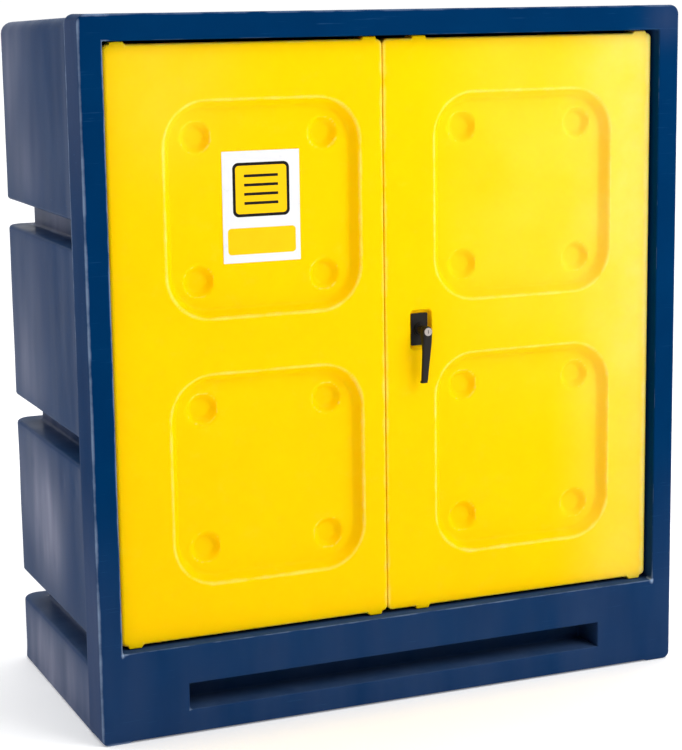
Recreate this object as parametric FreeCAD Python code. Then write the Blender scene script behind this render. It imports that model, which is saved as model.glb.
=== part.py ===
"""Chemical storage cabinet: a moulded body with two hollow doors on pivots.

All sizes are in millimetres. The origin is the middle of the base, on the floor.
X runs to the right, Y to the back, so the doors face -Y, and Z is up.
Every piece is one node, written to its own STEP file.
"""
import FreeCAD, Part
import math
import os

# Overall size
WIDTH = 1200.0
HEIGHT = 1311.0
DEPTH = 600.0
FRONT = -DEPTH / 2
BACK = DEPTH / 2

# Moulded body: a thick hollow rim in front and a ribbed single wall behind it
WALL = 7.0
RIM_DEPTH = 84.0
RIM_BACK = FRONT + RIM_DEPTH
RIM_TOP_CORNER = 18.0
RIM_FOOT_CORNER = 14.0
RIM_EDGE = 5.0
BODY_STEP = 3.0
BODY_TAPER = 10.0
BODY_TOP_FRONT = HEIGHT - 5.0
BODY_TOP_BACK = HEIGHT - 16.0
REAR_RADIUS = 35.0
LEAST_RADIUS = 6.0
BLOCK_EDGE = 7.0
CHANNEL_DEPTH = 48.0
CHANNELS = [(132.0, 188.0), (503.0, 554.0), (898.0, 949.5)]
FOOT_LENGTH = 50.0
FOOT_HEIGHT = 2.5

# Doorway
OPENING_HALF = 556.0
SILL = 170.0
LINTEL = 1264.2

# Toe slot in the bottom rail
SLOT_HALF = 430.5
SLOT_BOTTOM = 47.0
SLOT_TOP = 97.0
SLOT_DEPTH = 76.0

# Doors
DOOR_FRONT = FRONT + 20.0
DOOR_THICK = 45.0
DOOR_BACK = DOOR_FRONT + DOOR_THICK
DOOR_WALL = 5.0
DOOR_HALF_SPAN = 552.0
SEAM = -20.5
SEAM_GAP = 4.0
DOOR_BOTTOM = 176.5
DOOR_TOP = 1258.5
DOOR_CORNER = 11.0
DOOR_EDGE = 8.0
SEAM_EDGE = 3.0
HINGE_EDGE = 12.0

# Recessed panels in the doors, with a moulded dimple near each corner
PANEL_WIDTH = 378.0
PANEL_HEIGHT = 391.0
PANEL_CORNER = 82.0
PANEL_DEPTH = 20.0
PANEL_SLOPE = 15.0
PANEL_LEVELS = [469.5, 962.0]
LEFT_PANEL_X = -256.0
RIGHT_PANEL_X = 273.0
DIMPLE_SPACING_X = 245.0
DIMPLE_SPACING_Z = 259.0
DIMPLE_RADIUS = 28.5
DIMPLE_FLOOR = 20.0
DIMPLE_DEPTH = 12.0

# Lugs on the top and bottom edges of the doors
LUG_WIDTH = 28.0
LUG_BACK = DOOR_FRONT + 37.0
LUG_GAP = 1.0
LUG_EDGE = 3.0
LUG_ROOT = 24.0
BOSS_DEPTH = 24.0
BOSS_REACH = 60.0

# Pivots at the outer corners
PIVOT_X = DOOR_HALF_SPAN - 27.5
PIVOT_Y = DOOR_FRONT + DOOR_THICK / 2
PIN_RADIUS = 6.0
PIN_PLAY = 0.05
PIN_SETBACK = 2.0
PIN_TIP_EDGE = 1.5
BUSH_RADIUS = 9.0
BUSH_FLANGE = 12.0
FLANGE_THICK = 2.0
PIVOT_BOSS = 13.0
HEAD_RADIUS = 12.0
HEAD_HEIGHT = 6.0
SOCKET_FLATS = 8.0
SOCKET_DEPTH = 4.0
RIM_BOSS = 16.0
INSERT_RADIUS = 9.0
INSERT_LENGTH = 28.0
INSERT_FLOOR = 2.0
WASHER_RADIUS = 13.0
WASHER_THICK = 2.0
WASHER_PROUD = 0.6
WASHER_SEAT = SILL - WASHER_THICK + WASHER_PROUD

# Lock on the right door: lever, key cylinder and a pinion that drives two racks
LOCK_X = 54.0
LOCK_Z = 716.0
LATCH_Y = DOOR_FRONT + 27.0
RECESS_WIDTH = 45.0
RECESS_HEIGHT = 76.0
RECESS_DEPTH = 10.0
RECESS_CORNER = 9.0
PLATE_WIDTH = 34.0
PLATE_HEIGHT = 61.0
PLATE_THICK = 2.5
PLATE_CORNER = 2.5
COLLAR_RADIUS = 11.5
COLLAR_HEIGHT = 4.0
BARREL_RADIUS = 10.5
SHANK_RADIUS = 7.0
NUT_FLATS = 30.0
NUT_THICK = 3.5
LEVER_FACE = FRONT - 11.0
LEVER_LENGTH = 99.0
LEVER_HEAD = 9.9
LEVER_TIP = 6.0
LEVER_THICK = 17.0
LEVER_THIN = 7.0
LEVER_EDGE = 1.2
NECK_RADIUS = 8.9
NECK_GAP = 0.3
LIP_DEPTH = 10.5
LIP_THICK = 4.5
CYLINDER_RADIUS = 7.7
CYLINDER_DEPTH = 15.0
CYLINDER_PROUD = 0.4
KEYWAY_WIDTH = 1.6
KEYWAY_HEIGHT = 7.0
KEYWAY_DEPTH = 6.0
SPINDLE_SIDE = 8.0
SPINDLE_REACH = 4.0
TAIL_LENGTH = 4.0
MODULE = 2.0
PINION_TEETH = 12
PITCH_RADIUS = MODULE * PINION_TEETH / 2
DEDENDUM = 1.25 * MODULE
PINION_ADDENDUM = 0.9 * MODULE
RACK_ADDENDUM = 0.85 * MODULE
ROOT_SHARE = 1.35
TIP_SHARE = 0.42
PRESSURE_ANGLE = math.radians(20)
MESH_REACH = 2.5 * MODULE
GEAR_WIDTH = 8.0
BACKLASH = 0.35
THROW = math.pi / 2 * PITCH_RADIUS
RACK_BACK = 22.0
ROD_RADIUS = 5.0
ROD_SETBACK = 1.0
ROD_TIP_EDGE = 1.5
ROD_WAY = 0.5
ARM_HEIGHT = 6.0
ARM_CLEARANCE = 5.0
GUIDE_RADIUS = 7.0
KEEPER_RADIUS = 11.0
KEEPER_BORE = 8.0
KEEPER_LENGTH = 26.0
KEEPER_FLOOR = 2.0

# Latch case behind the lock
CASE_HALF_WIDTH = 30.0
CASE_HALF_HEIGHT = 46.0
CASE_WALL = 2.5
CASE_FLOOR = 2.0
CASE_PLAY = 1.0
CASE_FRONT = DOOR_FRONT + 19.2
COVER_MARGIN = 14.0
COVER_THICK = 2.0
COVER_SCREW_REACH = 7.5
BEARING_GAP = 0.6
BEARING_THICK = 2.0
BEARING_HALF_HEIGHT = 14.0
SCREW_RADIUS = 2.1
SCREW_HEAD = 4.5
SCREW_CROWN = 2.7
SCREW_HEAD_HEIGHT = 2.2
SCREW_LENGTH = 6.0

# Slide bolts in the left door
LEFT_LUG_X = SEAM - SEAM_GAP / 2 - 24.0
BOLT_LENGTH = 96.0
BOLT_THROW = 16.0
BOLT_EDGE = 1.2
BOLT_PLATE_WIDTH = 44.0
BOLT_PLATE_HEIGHT = 92.0
BOLT_PLATE_THICK = 1.5
BOLT_PLATE_SETBACK = 8.0
BOLT_WINDOW_MARGIN = 10.0
BOLT_SCREW_MARGIN = 5.0
EAR_THICK = 3.0
EAR_MARGIN = 14.0
EAR_INSET = 11.0
EAR_FRONT = 3.0
KNOB_RADIUS = 8.0
KNOB_LENGTH = 12.0
KNOB_EDGE = 2.0
KNOB_GAP = 0.4
STEM_RADIUS = 3.0
STEM_END = DOOR_BACK + BOLT_PLATE_THICK + 4.0
STEM_PLAY = 0.5

# Shelves and sump grid, resting on the ledges that the channels form inside
SHELF_HALF = 572.0
SHELF_FRONT = RIM_BACK + 11.0
SHELF_BACK = BACK - 16.0
SHELF_CORNER = 12.0
SHELF_RIM = 25.0
SHEET = 1.5
PATTERN_MARGIN = 45.0
SHELF_COUNTS = (8, 6)
SHELF_SHARES = (0.7, 0.14)
GRID_COUNTS = (16, 7)
GRID_SHARES = (0.72, 0.72)

# Blank label plate in the upper left panel
LABEL_WIDTH = 150.0
LABEL_HEIGHT = 202.0
LABEL_THICK = 0.4
LABEL_CORNER = 1.0
LABEL_X = -255.0
LABEL_Z = 963.0

V = FreeCAD.Vector
X_AXIS = V(1, 0, 0)
Y_AXIS = V(0, 1, 0)
Z_AXIS = V(0, 0, 1)
SIDES = {"left": -1, "right": 1}
ENDS = {"top": 1, "bottom": -1}
# A cut runs this far past the face that it opens; edges that measure less than TINY are points.
PAST = 1.0
TINY = 0.01


def box(x0, x1, y0, y1, z0, z1):
    """Block between two corners."""
    return Part.makeBox(x1 - x0, y1 - y0, z1 - z0, V(x0, y0, z0))


def upright(x, y, z0, z1, radius):
    """Cylinder along Z between two heights."""
    return Part.makeCylinder(radius, abs(z1 - z0), V(x, y, min(z0, z1)), Z_AXIS)


def level(x, z, y0, y1, radius):
    """Cylinder along Y between two depths."""
    return Part.makeCylinder(radius, y1 - y0, V(x, y0, z), Y_AXIS)


def hexagon(x, y, z, flats, height):
    """Hexagonal prism standing on Z, by its width across flats."""
    radius = flats / math.sqrt(3)
    corners = []
    for k in range(7):
        angle = k * math.pi / 3
        corners.append(V(x + radius * math.cos(angle), y + radius * math.sin(angle), z))
    return Part.Face(Part.makePolygon(corners)).extrude(V(0, 0, height))


def rounded(shape, radius, test):
    """Round every edge whose bounding box passes the test."""
    edges = [edge for edge in shape.Edges if test(edge.BoundBox)]
    return shape.makeFillet(radius, edges)


def runs_along_y(bounds):
    """True for an edge that runs straight from front to back."""
    return bounds.YLength > PAST and bounds.XLength < TINY and bounds.ZLength < TINY


def at_depth(y):
    """Test for edges that lie in the upright plane at depth y."""
    return lambda bounds: bounds.YLength < TINY and abs(bounds.YMin - y) < TINY


def outline(x, z, y, width, height, radius):
    """Closed wire of a rounded rectangle in the plane at depth y."""
    half_x = width / 2 - radius
    half_z = height / 2 - radius
    bend = radius * math.sqrt(0.5)
    edges = []
    for quarter in range(4):
        turn = quarter * math.pi / 2
        along = V(round(math.cos(turn)), 0, round(math.sin(turn)))
        up = V(-along.z, 0, along.x)
        reach = abs(along.x) * half_x + abs(along.z) * half_z
        side = abs(up.x) * half_x + abs(up.z) * half_z
        centre = V(x, y, z) + along * reach + up * side
        before = V(x, y, z) + along * (reach + radius) - up * side
        start = centre + along * radius
        end = centre + up * radius
        edges.append(Part.LineSegment(before, start).toShape())
        middle = centre + (along + up) * bend
        edges.append(Part.Arc(start, middle, end).toShape())
    return Part.Wire(edges)


def rounded_block(x, z, y0, y1, width, height, radius):
    """Block with rounded upright corners as seen from the front."""
    face = Part.Face(outline(x, z, y0, width, height, radius))
    return face.extrude(V(0, y1 - y0, 0))


def body_block(inset, bottom, top):
    """One block of the body behind the rim, drawn in by inset at its sides and back."""
    front_half = WIDTH / 2 - BODY_STEP - inset
    back_half = WIDTH / 2 - BODY_TAPER - inset
    rear = BACK - inset
    corners = [V(-front_half, RIM_BACK, bottom), V(front_half, RIM_BACK, bottom)]
    corners += [V(back_half, rear, bottom), V(-back_half, rear, bottom)]
    face = Part.Face(Part.makePolygon(corners + corners[:1]))
    block = face.extrude(V(0, 0, top - bottom))
    radius = max(REAR_RADIUS - inset, LEAST_RADIUS)
    return rounded(block, radius, lambda b: b.ZLength > PAST and b.YMin > rear - PAST)


def above_slope(drop):
    """Wedge above the sloping top of the body, lowered by drop."""
    low_front = V(-WIDTH, RIM_BACK, BODY_TOP_FRONT - drop)
    low_back = V(-WIDTH, BACK + PAST, BODY_TOP_BACK - drop)
    high_back = V(-WIDTH, BACK + PAST, HEIGHT + PAST)
    high_front = V(-WIDTH, RIM_BACK, HEIGHT + PAST)
    wire = Part.makePolygon([low_front, low_back, high_back, high_front, low_front])
    return Part.Face(wire).extrude(V(2 * WIDTH, 0, 0))


def body_levels():
    """Heights of the full-width blocks between the channels."""
    starts = [0.0] + [top for bottom, top in CHANNELS]
    ends = [bottom for bottom, top in CHANNELS] + [HEIGHT]
    return list(zip(starts, ends))


def round_the_sides(bounds):
    """True for the edges round a block, apart from those that end against the rim."""
    return bounds.ZLength < 3 * BLOCK_EDGE and bounds.YMax > RIM_BACK + PAST


def body_outside():
    """Outer form behind the rim: a core with rounded blocks round it."""
    shape = body_block(CHANNEL_DEPTH, 0, HEIGHT)
    for bottom, top in body_levels():
        block = body_block(0, bottom, top)
        if top == HEIGHT:
            block = block.cut(above_slope(0))
        block = rounded(block, BLOCK_EDGE, round_the_sides)
        shape = shape.fuse(block)
    return shape.cut(above_slope(0))


def body_inside():
    """Hollow behind the rim, one wall inside the outer form."""
    shape = body_block(CHANNEL_DEPTH + WALL, WALL, HEIGHT)
    for bottom, top in body_levels():
        shape = shape.fuse(body_block(WALL, bottom + WALL, top - WALL))
    return shape.cut(above_slope(WALL))


def rim_outside():
    """Solid front rim with its rounded corners and front edge."""
    half = WIDTH / 2
    block = box(-half, half, FRONT, RIM_BACK, 0, HEIGHT)
    block = rounded(block, RIM_TOP_CORNER, lambda b: runs_along_y(b) and b.ZMin > PAST)
    block = rounded(block, RIM_FOOT_CORNER, lambda b: runs_along_y(b) and b.ZMax < PAST)
    return rounded(block, RIM_EDGE, at_depth(FRONT))


def rim_hollow():
    """Hollow inside the rim, less the bosses that hold pins and keepers."""
    half = WIDTH / 2 - WALL
    front = FRONT + WALL
    back = RIM_BACK - WALL
    hollow = box(-half, half, front, back, WALL, HEIGHT - WALL)
    inner = OPENING_HALF + WALL
    hollow = hollow.cut(box(-inner, inner, front, back, SILL - WALL, LINTEL + WALL))
    slot_half = SLOT_HALF + WALL
    hollow = hollow.cut(box(-slot_half, slot_half, front, back, SLOT_BOTTOM - WALL, SLOT_TOP + WALL))
    for sign in SIDES.values():
        hollow = hollow.cut(upright(sign * PIVOT_X, PIVOT_Y, 0, HEIGHT, RIM_BOSS))
    for x in (LOCK_X, LEFT_LUG_X):
        hollow = hollow.cut(upright(x, LATCH_Y, SILL - 2 * KEEPER_LENGTH, HEIGHT, RIM_BOSS))
    return hollow


def cabinet_body():
    """One-piece moulding of the cabinet."""
    shape = rim_outside().fuse(body_outside())
    doorway = box(-OPENING_HALF, OPENING_HALF, FRONT - PAST, RIM_BACK + PAST, SILL, LINTEL)
    slot = box(-SLOT_HALF, SLOT_HALF, FRONT - PAST, FRONT + SLOT_DEPTH, SLOT_BOTTOM, SLOT_TOP)
    foot_half = WIDTH / 2 - FOOT_LENGTH
    relief = box(-foot_half, foot_half, FRONT - PAST, RIM_BACK, -PAST, FOOT_HEIGHT)
    shape = shape.cut([doorway, slot, relief, body_inside(), rim_hollow()])
    holes = []
    for sign in SIDES.values():
        x = sign * PIVOT_X
        holes.append(upright(x, PIVOT_Y, LINTEL - PAST, HEIGHT + PAST, PIN_RADIUS))
        holes.append(countersink(x))
        holes.append(upright(x, PIVOT_Y, SILL - INSERT_LENGTH, SILL, INSERT_RADIUS))
        holes.append(upright(x, PIVOT_Y, WASHER_SEAT, SILL + PAST, WASHER_RADIUS))
    for x in (LOCK_X, LEFT_LUG_X):
        holes.append(upright(x, LATCH_Y, LINTEL - PAST, LINTEL + KEEPER_LENGTH, KEEPER_RADIUS))
        holes.append(upright(x, LATCH_Y, SILL - KEEPER_LENGTH, SILL + PAST, KEEPER_RADIUS))
    return shape.cut(holes)


def countersink(x):
    """Cone of a countersunk head, flush with the top of the rim."""
    base = V(x, PIVOT_Y, HEIGHT - HEAD_HEIGHT)
    return Part.makeCone(PIN_RADIUS, HEAD_RADIUS, HEAD_HEIGHT, base, Z_AXIS)


def top_pivot_bolt(x):
    """Countersunk bolt whose plain end turns in the bush of the door."""
    end = DOOR_TOP - BOSS_DEPTH + FLANGE_THICK + PIN_SETBACK
    bolt = upright(x, PIVOT_Y, end, HEIGHT - HEAD_HEIGHT, PIN_RADIUS).fuse(countersink(x))
    return bolt.cut(hexagon(x, PIVOT_Y, HEIGHT - SOCKET_DEPTH, SOCKET_FLATS, SOCKET_DEPTH + PAST))


def bottom_pivot_pin(x):
    """Plain pin that stands in the insert of the sill."""
    end = DOOR_BOTTOM + BOSS_DEPTH - FLANGE_THICK - PIN_SETBACK
    pin = upright(x, PIVOT_Y, SILL - INSERT_LENGTH + INSERT_FLOOR, end, PIN_RADIUS)
    return rounded(pin, PIN_TIP_EDGE, lambda b: b.ZMin > end - TINY)


def sill_insert(x):
    """Brass insert moulded into the sill."""
    foot = SILL - INSERT_LENGTH
    tube = upright(x, PIVOT_Y, foot, WASHER_SEAT, INSERT_RADIUS)
    return tube.cut(upright(x, PIVOT_Y, foot + INSERT_FLOOR, SILL, PIN_RADIUS))


def thrust_washer(x):
    """Washer that carries the weight of the door."""
    top = WASHER_SEAT + WASHER_THICK
    disc = upright(x, PIVOT_Y, WASHER_SEAT, top, WASHER_RADIUS)
    return disc.cut(upright(x, PIVOT_Y, WASHER_SEAT - PAST, top + PAST, PIN_RADIUS))


def lug_face(end):
    """Height of the outer face of a lug, just clear of the rim."""
    if ENDS[end] > 0:
        return LINTEL - LUG_GAP
    return SILL + LUG_GAP


def boss_foot(end):
    """Height at which the solid boss inside the door ends."""
    if ENDS[end] > 0:
        return DOOR_TOP - BOSS_DEPTH
    return DOOR_BOTTOM + BOSS_DEPTH


def door_bush(x, end):
    """Flanged bush pressed into a door lug, round the pivot."""
    face = lug_face(end)
    foot = boss_foot(end)
    shoulder = face - ENDS[end] * FLANGE_THICK
    bush = upright(x, PIVOT_Y, face, shoulder, BUSH_FLANGE)
    bush = bush.fuse(upright(x, PIVOT_Y, shoulder, foot, BUSH_RADIUS))
    return bush.cut(upright(x, PIVOT_Y, face + ENDS[end], foot - ENDS[end], PIN_RADIUS + PIN_PLAY))


def bush_pocket(x, end):
    """Space in the door for its bush."""
    face = lug_face(end)
    shoulder = face - ENDS[end] * FLANGE_THICK
    flange = upright(x, PIVOT_Y, face + ENDS[end], shoulder, BUSH_FLANGE)
    return flange.fuse(upright(x, PIVOT_Y, shoulder, boss_foot(end), BUSH_RADIUS))


def lug(x, end):
    """Moulded lug, flush with the front of the door, that fills most of the gap to the rim."""
    face = lug_face(end)
    root = face - ENDS[end] * LUG_ROOT
    half = LUG_WIDTH / 2
    block = box(x - half, x + half, DOOR_FRONT, LUG_BACK, min(face, root), max(face, root))
    return rounded(block, LUG_EDGE, lambda b: b.ZLength > PAST and b.YMax < LUG_BACK)


def door_form(seam, hinge_side):
    """Outer form of a door: soft edges all round, crisper at the seam and softer at the hinge."""
    hinge = hinge_side * DOOR_HALF_SPAN
    past_seam = seam - hinge_side * LUG_WIDTH
    past_hinge = hinge + hinge_side * LUG_WIDTH
    block = box(
        min(past_seam, hinge), max(past_seam, hinge), DOOR_FRONT, DOOR_BACK, DOOR_BOTTOM, DOOR_TOP)
    block = rounded(block, DOOR_CORNER, runs_along_y)
    block = rounded(block, DOOR_EDGE, at_depth(DOOR_FRONT))
    block = rounded(block, DOOR_EDGE, at_depth(DOOR_BACK))
    # Two prisms that each run past the far side shape the upright edges of one side only.
    crisp = box(
        min(seam, past_hinge), max(seam, past_hinge), DOOR_FRONT, DOOR_BACK, DOOR_BOTTOM, DOOR_TOP)
    crisp = rounded(crisp, DOOR_CORNER, lambda b: runs_along_y(b) and abs(b.XMin - seam) < PAST)
    crisp = rounded(crisp, SEAM_EDGE, at_depth(DOOR_FRONT))
    crisp = rounded(crisp, SEAM_EDGE, at_depth(DOOR_BACK))
    soft = box(min(past_seam, hinge), max(past_seam, hinge), DOOR_FRONT, DOOR_BACK, 0, HEIGHT)
    soft = rounded(soft, HINGE_EDGE, lambda b: b.ZLength > PAST and abs(b.XMin - hinge) < PAST)
    return block.common(crisp).common(soft)


def panel_recess(x, z, grow):
    """Recess with sloping walls, grown by the thickness of the skin when it shapes the hollow."""
    start = DOOR_FRONT - PAST
    floor = DOOR_FRONT + PANEL_DEPTH + grow
    mouth = grow + PAST * PANEL_SLOPE / PANEL_DEPTH
    draw = grow - PANEL_SLOPE
    wide = outline(x, z, start, PANEL_WIDTH + 2 * mouth, PANEL_HEIGHT + 2 * mouth, PANEL_CORNER + mouth)
    deep = outline(x, z, floor, PANEL_WIDTH + 2 * draw, PANEL_HEIGHT + 2 * draw, PANEL_CORNER + draw)
    return Part.makeLoft([wide, deep], True, True)


def dimples(x, z, grow, floor_grow):
    """Four conical dimples in the floor of a recess."""
    start = DOOR_FRONT + PANEL_DEPTH - PAST
    depth = PAST + DIMPLE_DEPTH + floor_grow
    cones = []
    for i in (-1, 1):
        for k in (-1, 1):
            centre = V(x + i * DIMPLE_SPACING_X / 2, start, z + k * DIMPLE_SPACING_Z / 2)
            cones.append(Part.makeCone(DIMPLE_RADIUS + grow, DIMPLE_FLOOR + grow, depth, centre, Y_AXIS))
    return cones


def door_hollow(x0, x1, panel_x, boss_xs):
    """Hollow inside a door, less the recesses, dimple roots and bosses."""
    hollow = box(
        x0 + DOOR_WALL, x1 - DOOR_WALL, DOOR_FRONT + DOOR_WALL, DOOR_BACK - DOOR_WALL,
        DOOR_BOTTOM + DOOR_WALL, DOOR_TOP - DOOR_WALL)
    hollow = rounded(hollow, DOOR_EDGE, lambda b: b.ZLength > PAST)
    solids = []
    for z in PANEL_LEVELS:
        solids.append(panel_recess(panel_x, z, DOOR_WALL))
        solids += dimples(panel_x, z, DOOR_WALL, DOOR_THICK)
    for x, y in boss_xs:
        for end in ENDS:
            foot = boss_foot(end)
            solids.append(upright(x, y, foot, foot + ENDS[end] * BOSS_REACH, PIVOT_BOSS))
    return hollow.cut(solids)


def guide_bore(x, end):
    """Bore for a rod guide through a lug and the boss behind it."""
    return upright(x, LATCH_Y, lug_face(end) + ENDS[end], boss_foot(end), GUIDE_RADIUS)


def door_shell(side, seam, panel_x, guide_x):
    """Hollow door with lugs, recessed panels, bush pockets and rod guides' bores."""
    sign = SIDES[side]
    pivot = sign * PIVOT_X
    hinge = sign * DOOR_HALF_SPAN
    shape = door_form(seam, sign)
    for end in ENDS:
        shape = shape.fuse([lug(pivot, end), lug(guide_x, end)])
    cuts = []
    for z in PANEL_LEVELS:
        cuts.append(panel_recess(panel_x, z, 0))
        cuts += dimples(panel_x, z, 0, 0)
    bosses = [(pivot, PIVOT_Y), (guide_x, LATCH_Y)]
    cuts.append(door_hollow(min(seam, hinge), max(seam, hinge), panel_x, bosses))
    for end in ENDS:
        cuts.append(bush_pocket(pivot, end))
        cuts.append(guide_bore(guide_x, end))
    return shape.cut(cuts)


def bolt_window_z(end):
    """Middle height of the plate that carries a slide bolt."""
    return boss_foot(end) - ENDS[end] * (BOLT_PLATE_HEIGHT / 2 + BOLT_PLATE_SETBACK)


def left_door():
    """Left door, with a window behind each slide bolt."""
    shape = door_shell("left", SEAM - SEAM_GAP / 2, LEFT_PANEL_X, LEFT_LUG_X)
    half_x = BOLT_PLATE_WIDTH / 2 - BOLT_WINDOW_MARGIN
    half_z = BOLT_PLATE_HEIGHT / 2 - BOLT_WINDOW_MARGIN
    for end in ENDS:
        z = bolt_window_z(end)
        window = box(
            LEFT_LUG_X - half_x, LEFT_LUG_X + half_x, LATCH_Y, DOOR_BACK + PAST, z - half_z, z + half_z)
        shape = shape.cut([window] + bolt_plate_screws(end))
    return shape


def right_door():
    """Right door, with the recess, bore and rear window for the lock."""
    shape = door_shell("right", SEAM + SEAM_GAP / 2, RIGHT_PANEL_X, LOCK_X)
    recess = rounded_block(
        LOCK_X, LOCK_Z, DOOR_FRONT - PAST, DOOR_FRONT + RECESS_DEPTH,
        RECESS_WIDTH, RECESS_HEIGHT, RECESS_CORNER)
    # The skin behind the lock recess is made good before the bore goes through it.
    wall = 2 * DOOR_WALL
    skin = rounded_block(
        LOCK_X, LOCK_Z, DOOR_FRONT + PAST, DOOR_FRONT + RECESS_DEPTH + DOOR_WALL,
        RECESS_WIDTH + wall, RECESS_HEIGHT + wall, RECESS_CORNER + DOOR_WALL)
    bore = level(LOCK_X, LOCK_Z, DOOR_FRONT, LATCH_Y, BARREL_RADIUS)
    half_x = CASE_HALF_WIDTH + CASE_PLAY
    half_z = CASE_HALF_HEIGHT + CASE_PLAY
    window = box(
        LOCK_X - half_x, LOCK_X + half_x, LATCH_Y, DOOR_BACK + PAST, LOCK_Z - half_z, LOCK_Z + half_z)
    return shape.fuse(skin).cut([recess, bore, window] + cover_screws())


def lock_plate():
    """Escutcheon with its collar and the threaded barrel behind it."""
    back = DOOR_FRONT + RECESS_DEPTH
    front = back - PLATE_THICK
    plate = rounded_block(LOCK_X, LOCK_Z, front, back, PLATE_WIDTH, PLATE_HEIGHT, PLATE_CORNER)
    plate = plate.fuse(level(LOCK_X, LOCK_Z, front - COLLAR_HEIGHT, back, COLLAR_RADIUS))
    plate = plate.fuse(level(LOCK_X, LOCK_Z, back, CASE_FRONT, BARREL_RADIUS))
    bore = level(LOCK_X, LOCK_Z, front - 2 * COLLAR_HEIGHT, CASE_FRONT + PAST, SHANK_RADIUS + PIN_PLAY)
    return plate.cut(bore)


def lock_nut():
    """Nut that clamps the barrel to the skin of the door."""
    start = DOOR_FRONT + RECESS_DEPTH + DOOR_WALL
    prism = hexagon(0, 0, 0, NUT_FLATS, NUT_THICK)
    prism.rotate(V(0, 0, 0), X_AXIS, -90)
    prism.translate(V(LOCK_X, start, LOCK_Z))
    return prism.cut(level(LOCK_X, LOCK_Z, start - PAST, start + NUT_THICK + PAST, BARREL_RADIUS))


def lever_outline():
    """Front view of the lever: a round head and a tapered blade with a square tip."""
    top = LOCK_Z
    tip = LOCK_Z - LEVER_LENGTH
    left = V(LOCK_X - LEVER_HEAD, LEVER_FACE, top)
    crown = V(LOCK_X, LEVER_FACE, top + LEVER_HEAD)
    right = V(LOCK_X + LEVER_HEAD, LEVER_FACE, top)
    low_right = V(LOCK_X + LEVER_TIP, LEVER_FACE, tip)
    low_left = V(LOCK_X - LEVER_TIP, LEVER_FACE, tip)
    edges = [Part.Arc(left, crown, right).toShape()]
    edges.append(Part.LineSegment(right, low_right).toShape())
    edges.append(Part.LineSegment(low_right, low_left).toShape())
    edges.append(Part.LineSegment(low_left, left).toShape())
    return Part.Face(Part.Wire(edges))


def lever_side():
    """Side view of the lever: thick head, thin blade and a lip that curls to the door."""
    tip = LOCK_Z - LEVER_LENGTH
    head_back = LEVER_FACE + LEVER_THICK
    blade_back = LEVER_FACE + LEVER_THIN
    lip_back = LEVER_FACE + LIP_DEPTH
    crown = LOCK_Z + LEVER_HEAD
    points = [(LEVER_FACE, crown + PAST), (head_back, crown + PAST), (head_back, LOCK_Z - LEVER_HEAD)]
    points += [(blade_back, LOCK_Z - 3 * LEVER_HEAD), (blade_back, tip + 2 * LIP_THICK)]
    points += [(lip_back, tip + LIP_THICK), (lip_back, tip - PAST), (LEVER_FACE, tip - PAST)]
    corners = [V(LOCK_X - 2 * LEVER_HEAD, y, z) for y, z in points]
    return Part.Face(Part.makePolygon(corners + corners[:1])).extrude(V(4 * LEVER_HEAD, 0, 0))


def lever_handle():
    """Lever with its shank and the bore for the key cylinder."""
    blade = lever_outline().extrude(V(0, 2 * LEVER_THICK, 0)).common(lever_side())
    blade = rounded(blade, LEVER_EDGE, at_depth(LEVER_FACE))
    collar_face = DOOR_FRONT + RECESS_DEPTH - PLATE_THICK - COLLAR_HEIGHT
    root = LEVER_FACE + LEVER_THICK - PAST
    neck = level(LOCK_X, LOCK_Z, root, collar_face - NECK_GAP, NECK_RADIUS)
    shank = level(LOCK_X, LOCK_Z, root, CASE_FRONT, SHANK_RADIUS)
    bore_end = LEVER_FACE + CYLINDER_DEPTH
    bore = level(LOCK_X, LOCK_Z, LEVER_FACE - PAST, bore_end, CYLINDER_RADIUS + PIN_PLAY)
    return blade.fuse([neck, shank]).cut([bore, spindle_bar()])


def spindle_bar():
    """Square bar from inside the shank to the back of the pinion."""
    half = SPINDLE_SIDE / 2
    start = DOOR_FRONT - SPINDLE_REACH
    end = LATCH_Y + GEAR_WIDTH / 2
    return box(LOCK_X - half, LOCK_X + half, start, end, LOCK_Z - half, LOCK_Z + half)


def drive_spindle():
    """Square spindle with a round tail that turns in the bearing plate."""
    start = LATCH_Y + GEAR_WIDTH / 2
    return spindle_bar().fuse(level(LOCK_X, LOCK_Z, start, start + TAIL_LENGTH, SPINDLE_SIDE / 2))


def key_cylinder():
    """Plug with a keyway, set in the head of the lever."""
    face = LEVER_FACE - CYLINDER_PROUD
    plug = level(LOCK_X, LOCK_Z, face, LEVER_FACE + CYLINDER_DEPTH - PAST, CYLINDER_RADIUS)
    half_x = KEYWAY_WIDTH / 2
    half_z = KEYWAY_HEIGHT / 2
    floor = face + KEYWAY_DEPTH
    keyway = box(LOCK_X - half_x, LOCK_X + half_x, face - PAST, floor, LOCK_Z - half_z, LOCK_Z + half_z)
    return plug.cut(keyway)


def drive_pinion():
    """Pinion with straight-sided teeth, relieved at the tips, on the square spindle."""
    root = PITCH_RADIUS - DEDENDUM
    tip = PITCH_RADIUS + PINION_ADDENDUM
    pitch_half = (math.pi * MODULE / 2 - BACKLASH) / 2 / PITCH_RADIUS
    flank = [(root, ROOT_SHARE), (PITCH_RADIUS, 1.0), (tip, TIP_SHARE)]
    y0 = LATCH_Y - GEAR_WIDTH / 2
    points = []
    for tooth in range(PINION_TEETH):
        middle = 2 * math.pi * tooth / PINION_TEETH
        for radius, share in flank:
            points.append((radius, middle - share * pitch_half))
        for radius, share in reversed(flank):
            points.append((radius, middle + share * pitch_half))
    corners = []
    for radius, angle in points:
        corners.append(V(LOCK_X + radius * math.cos(angle), y0, LOCK_Z + radius * math.sin(angle)))
    gear = Part.Face(Part.makePolygon(corners + corners[:1])).extrude(V(0, GEAR_WIDTH, 0))
    return gear.cut(spindle_bar())


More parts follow.
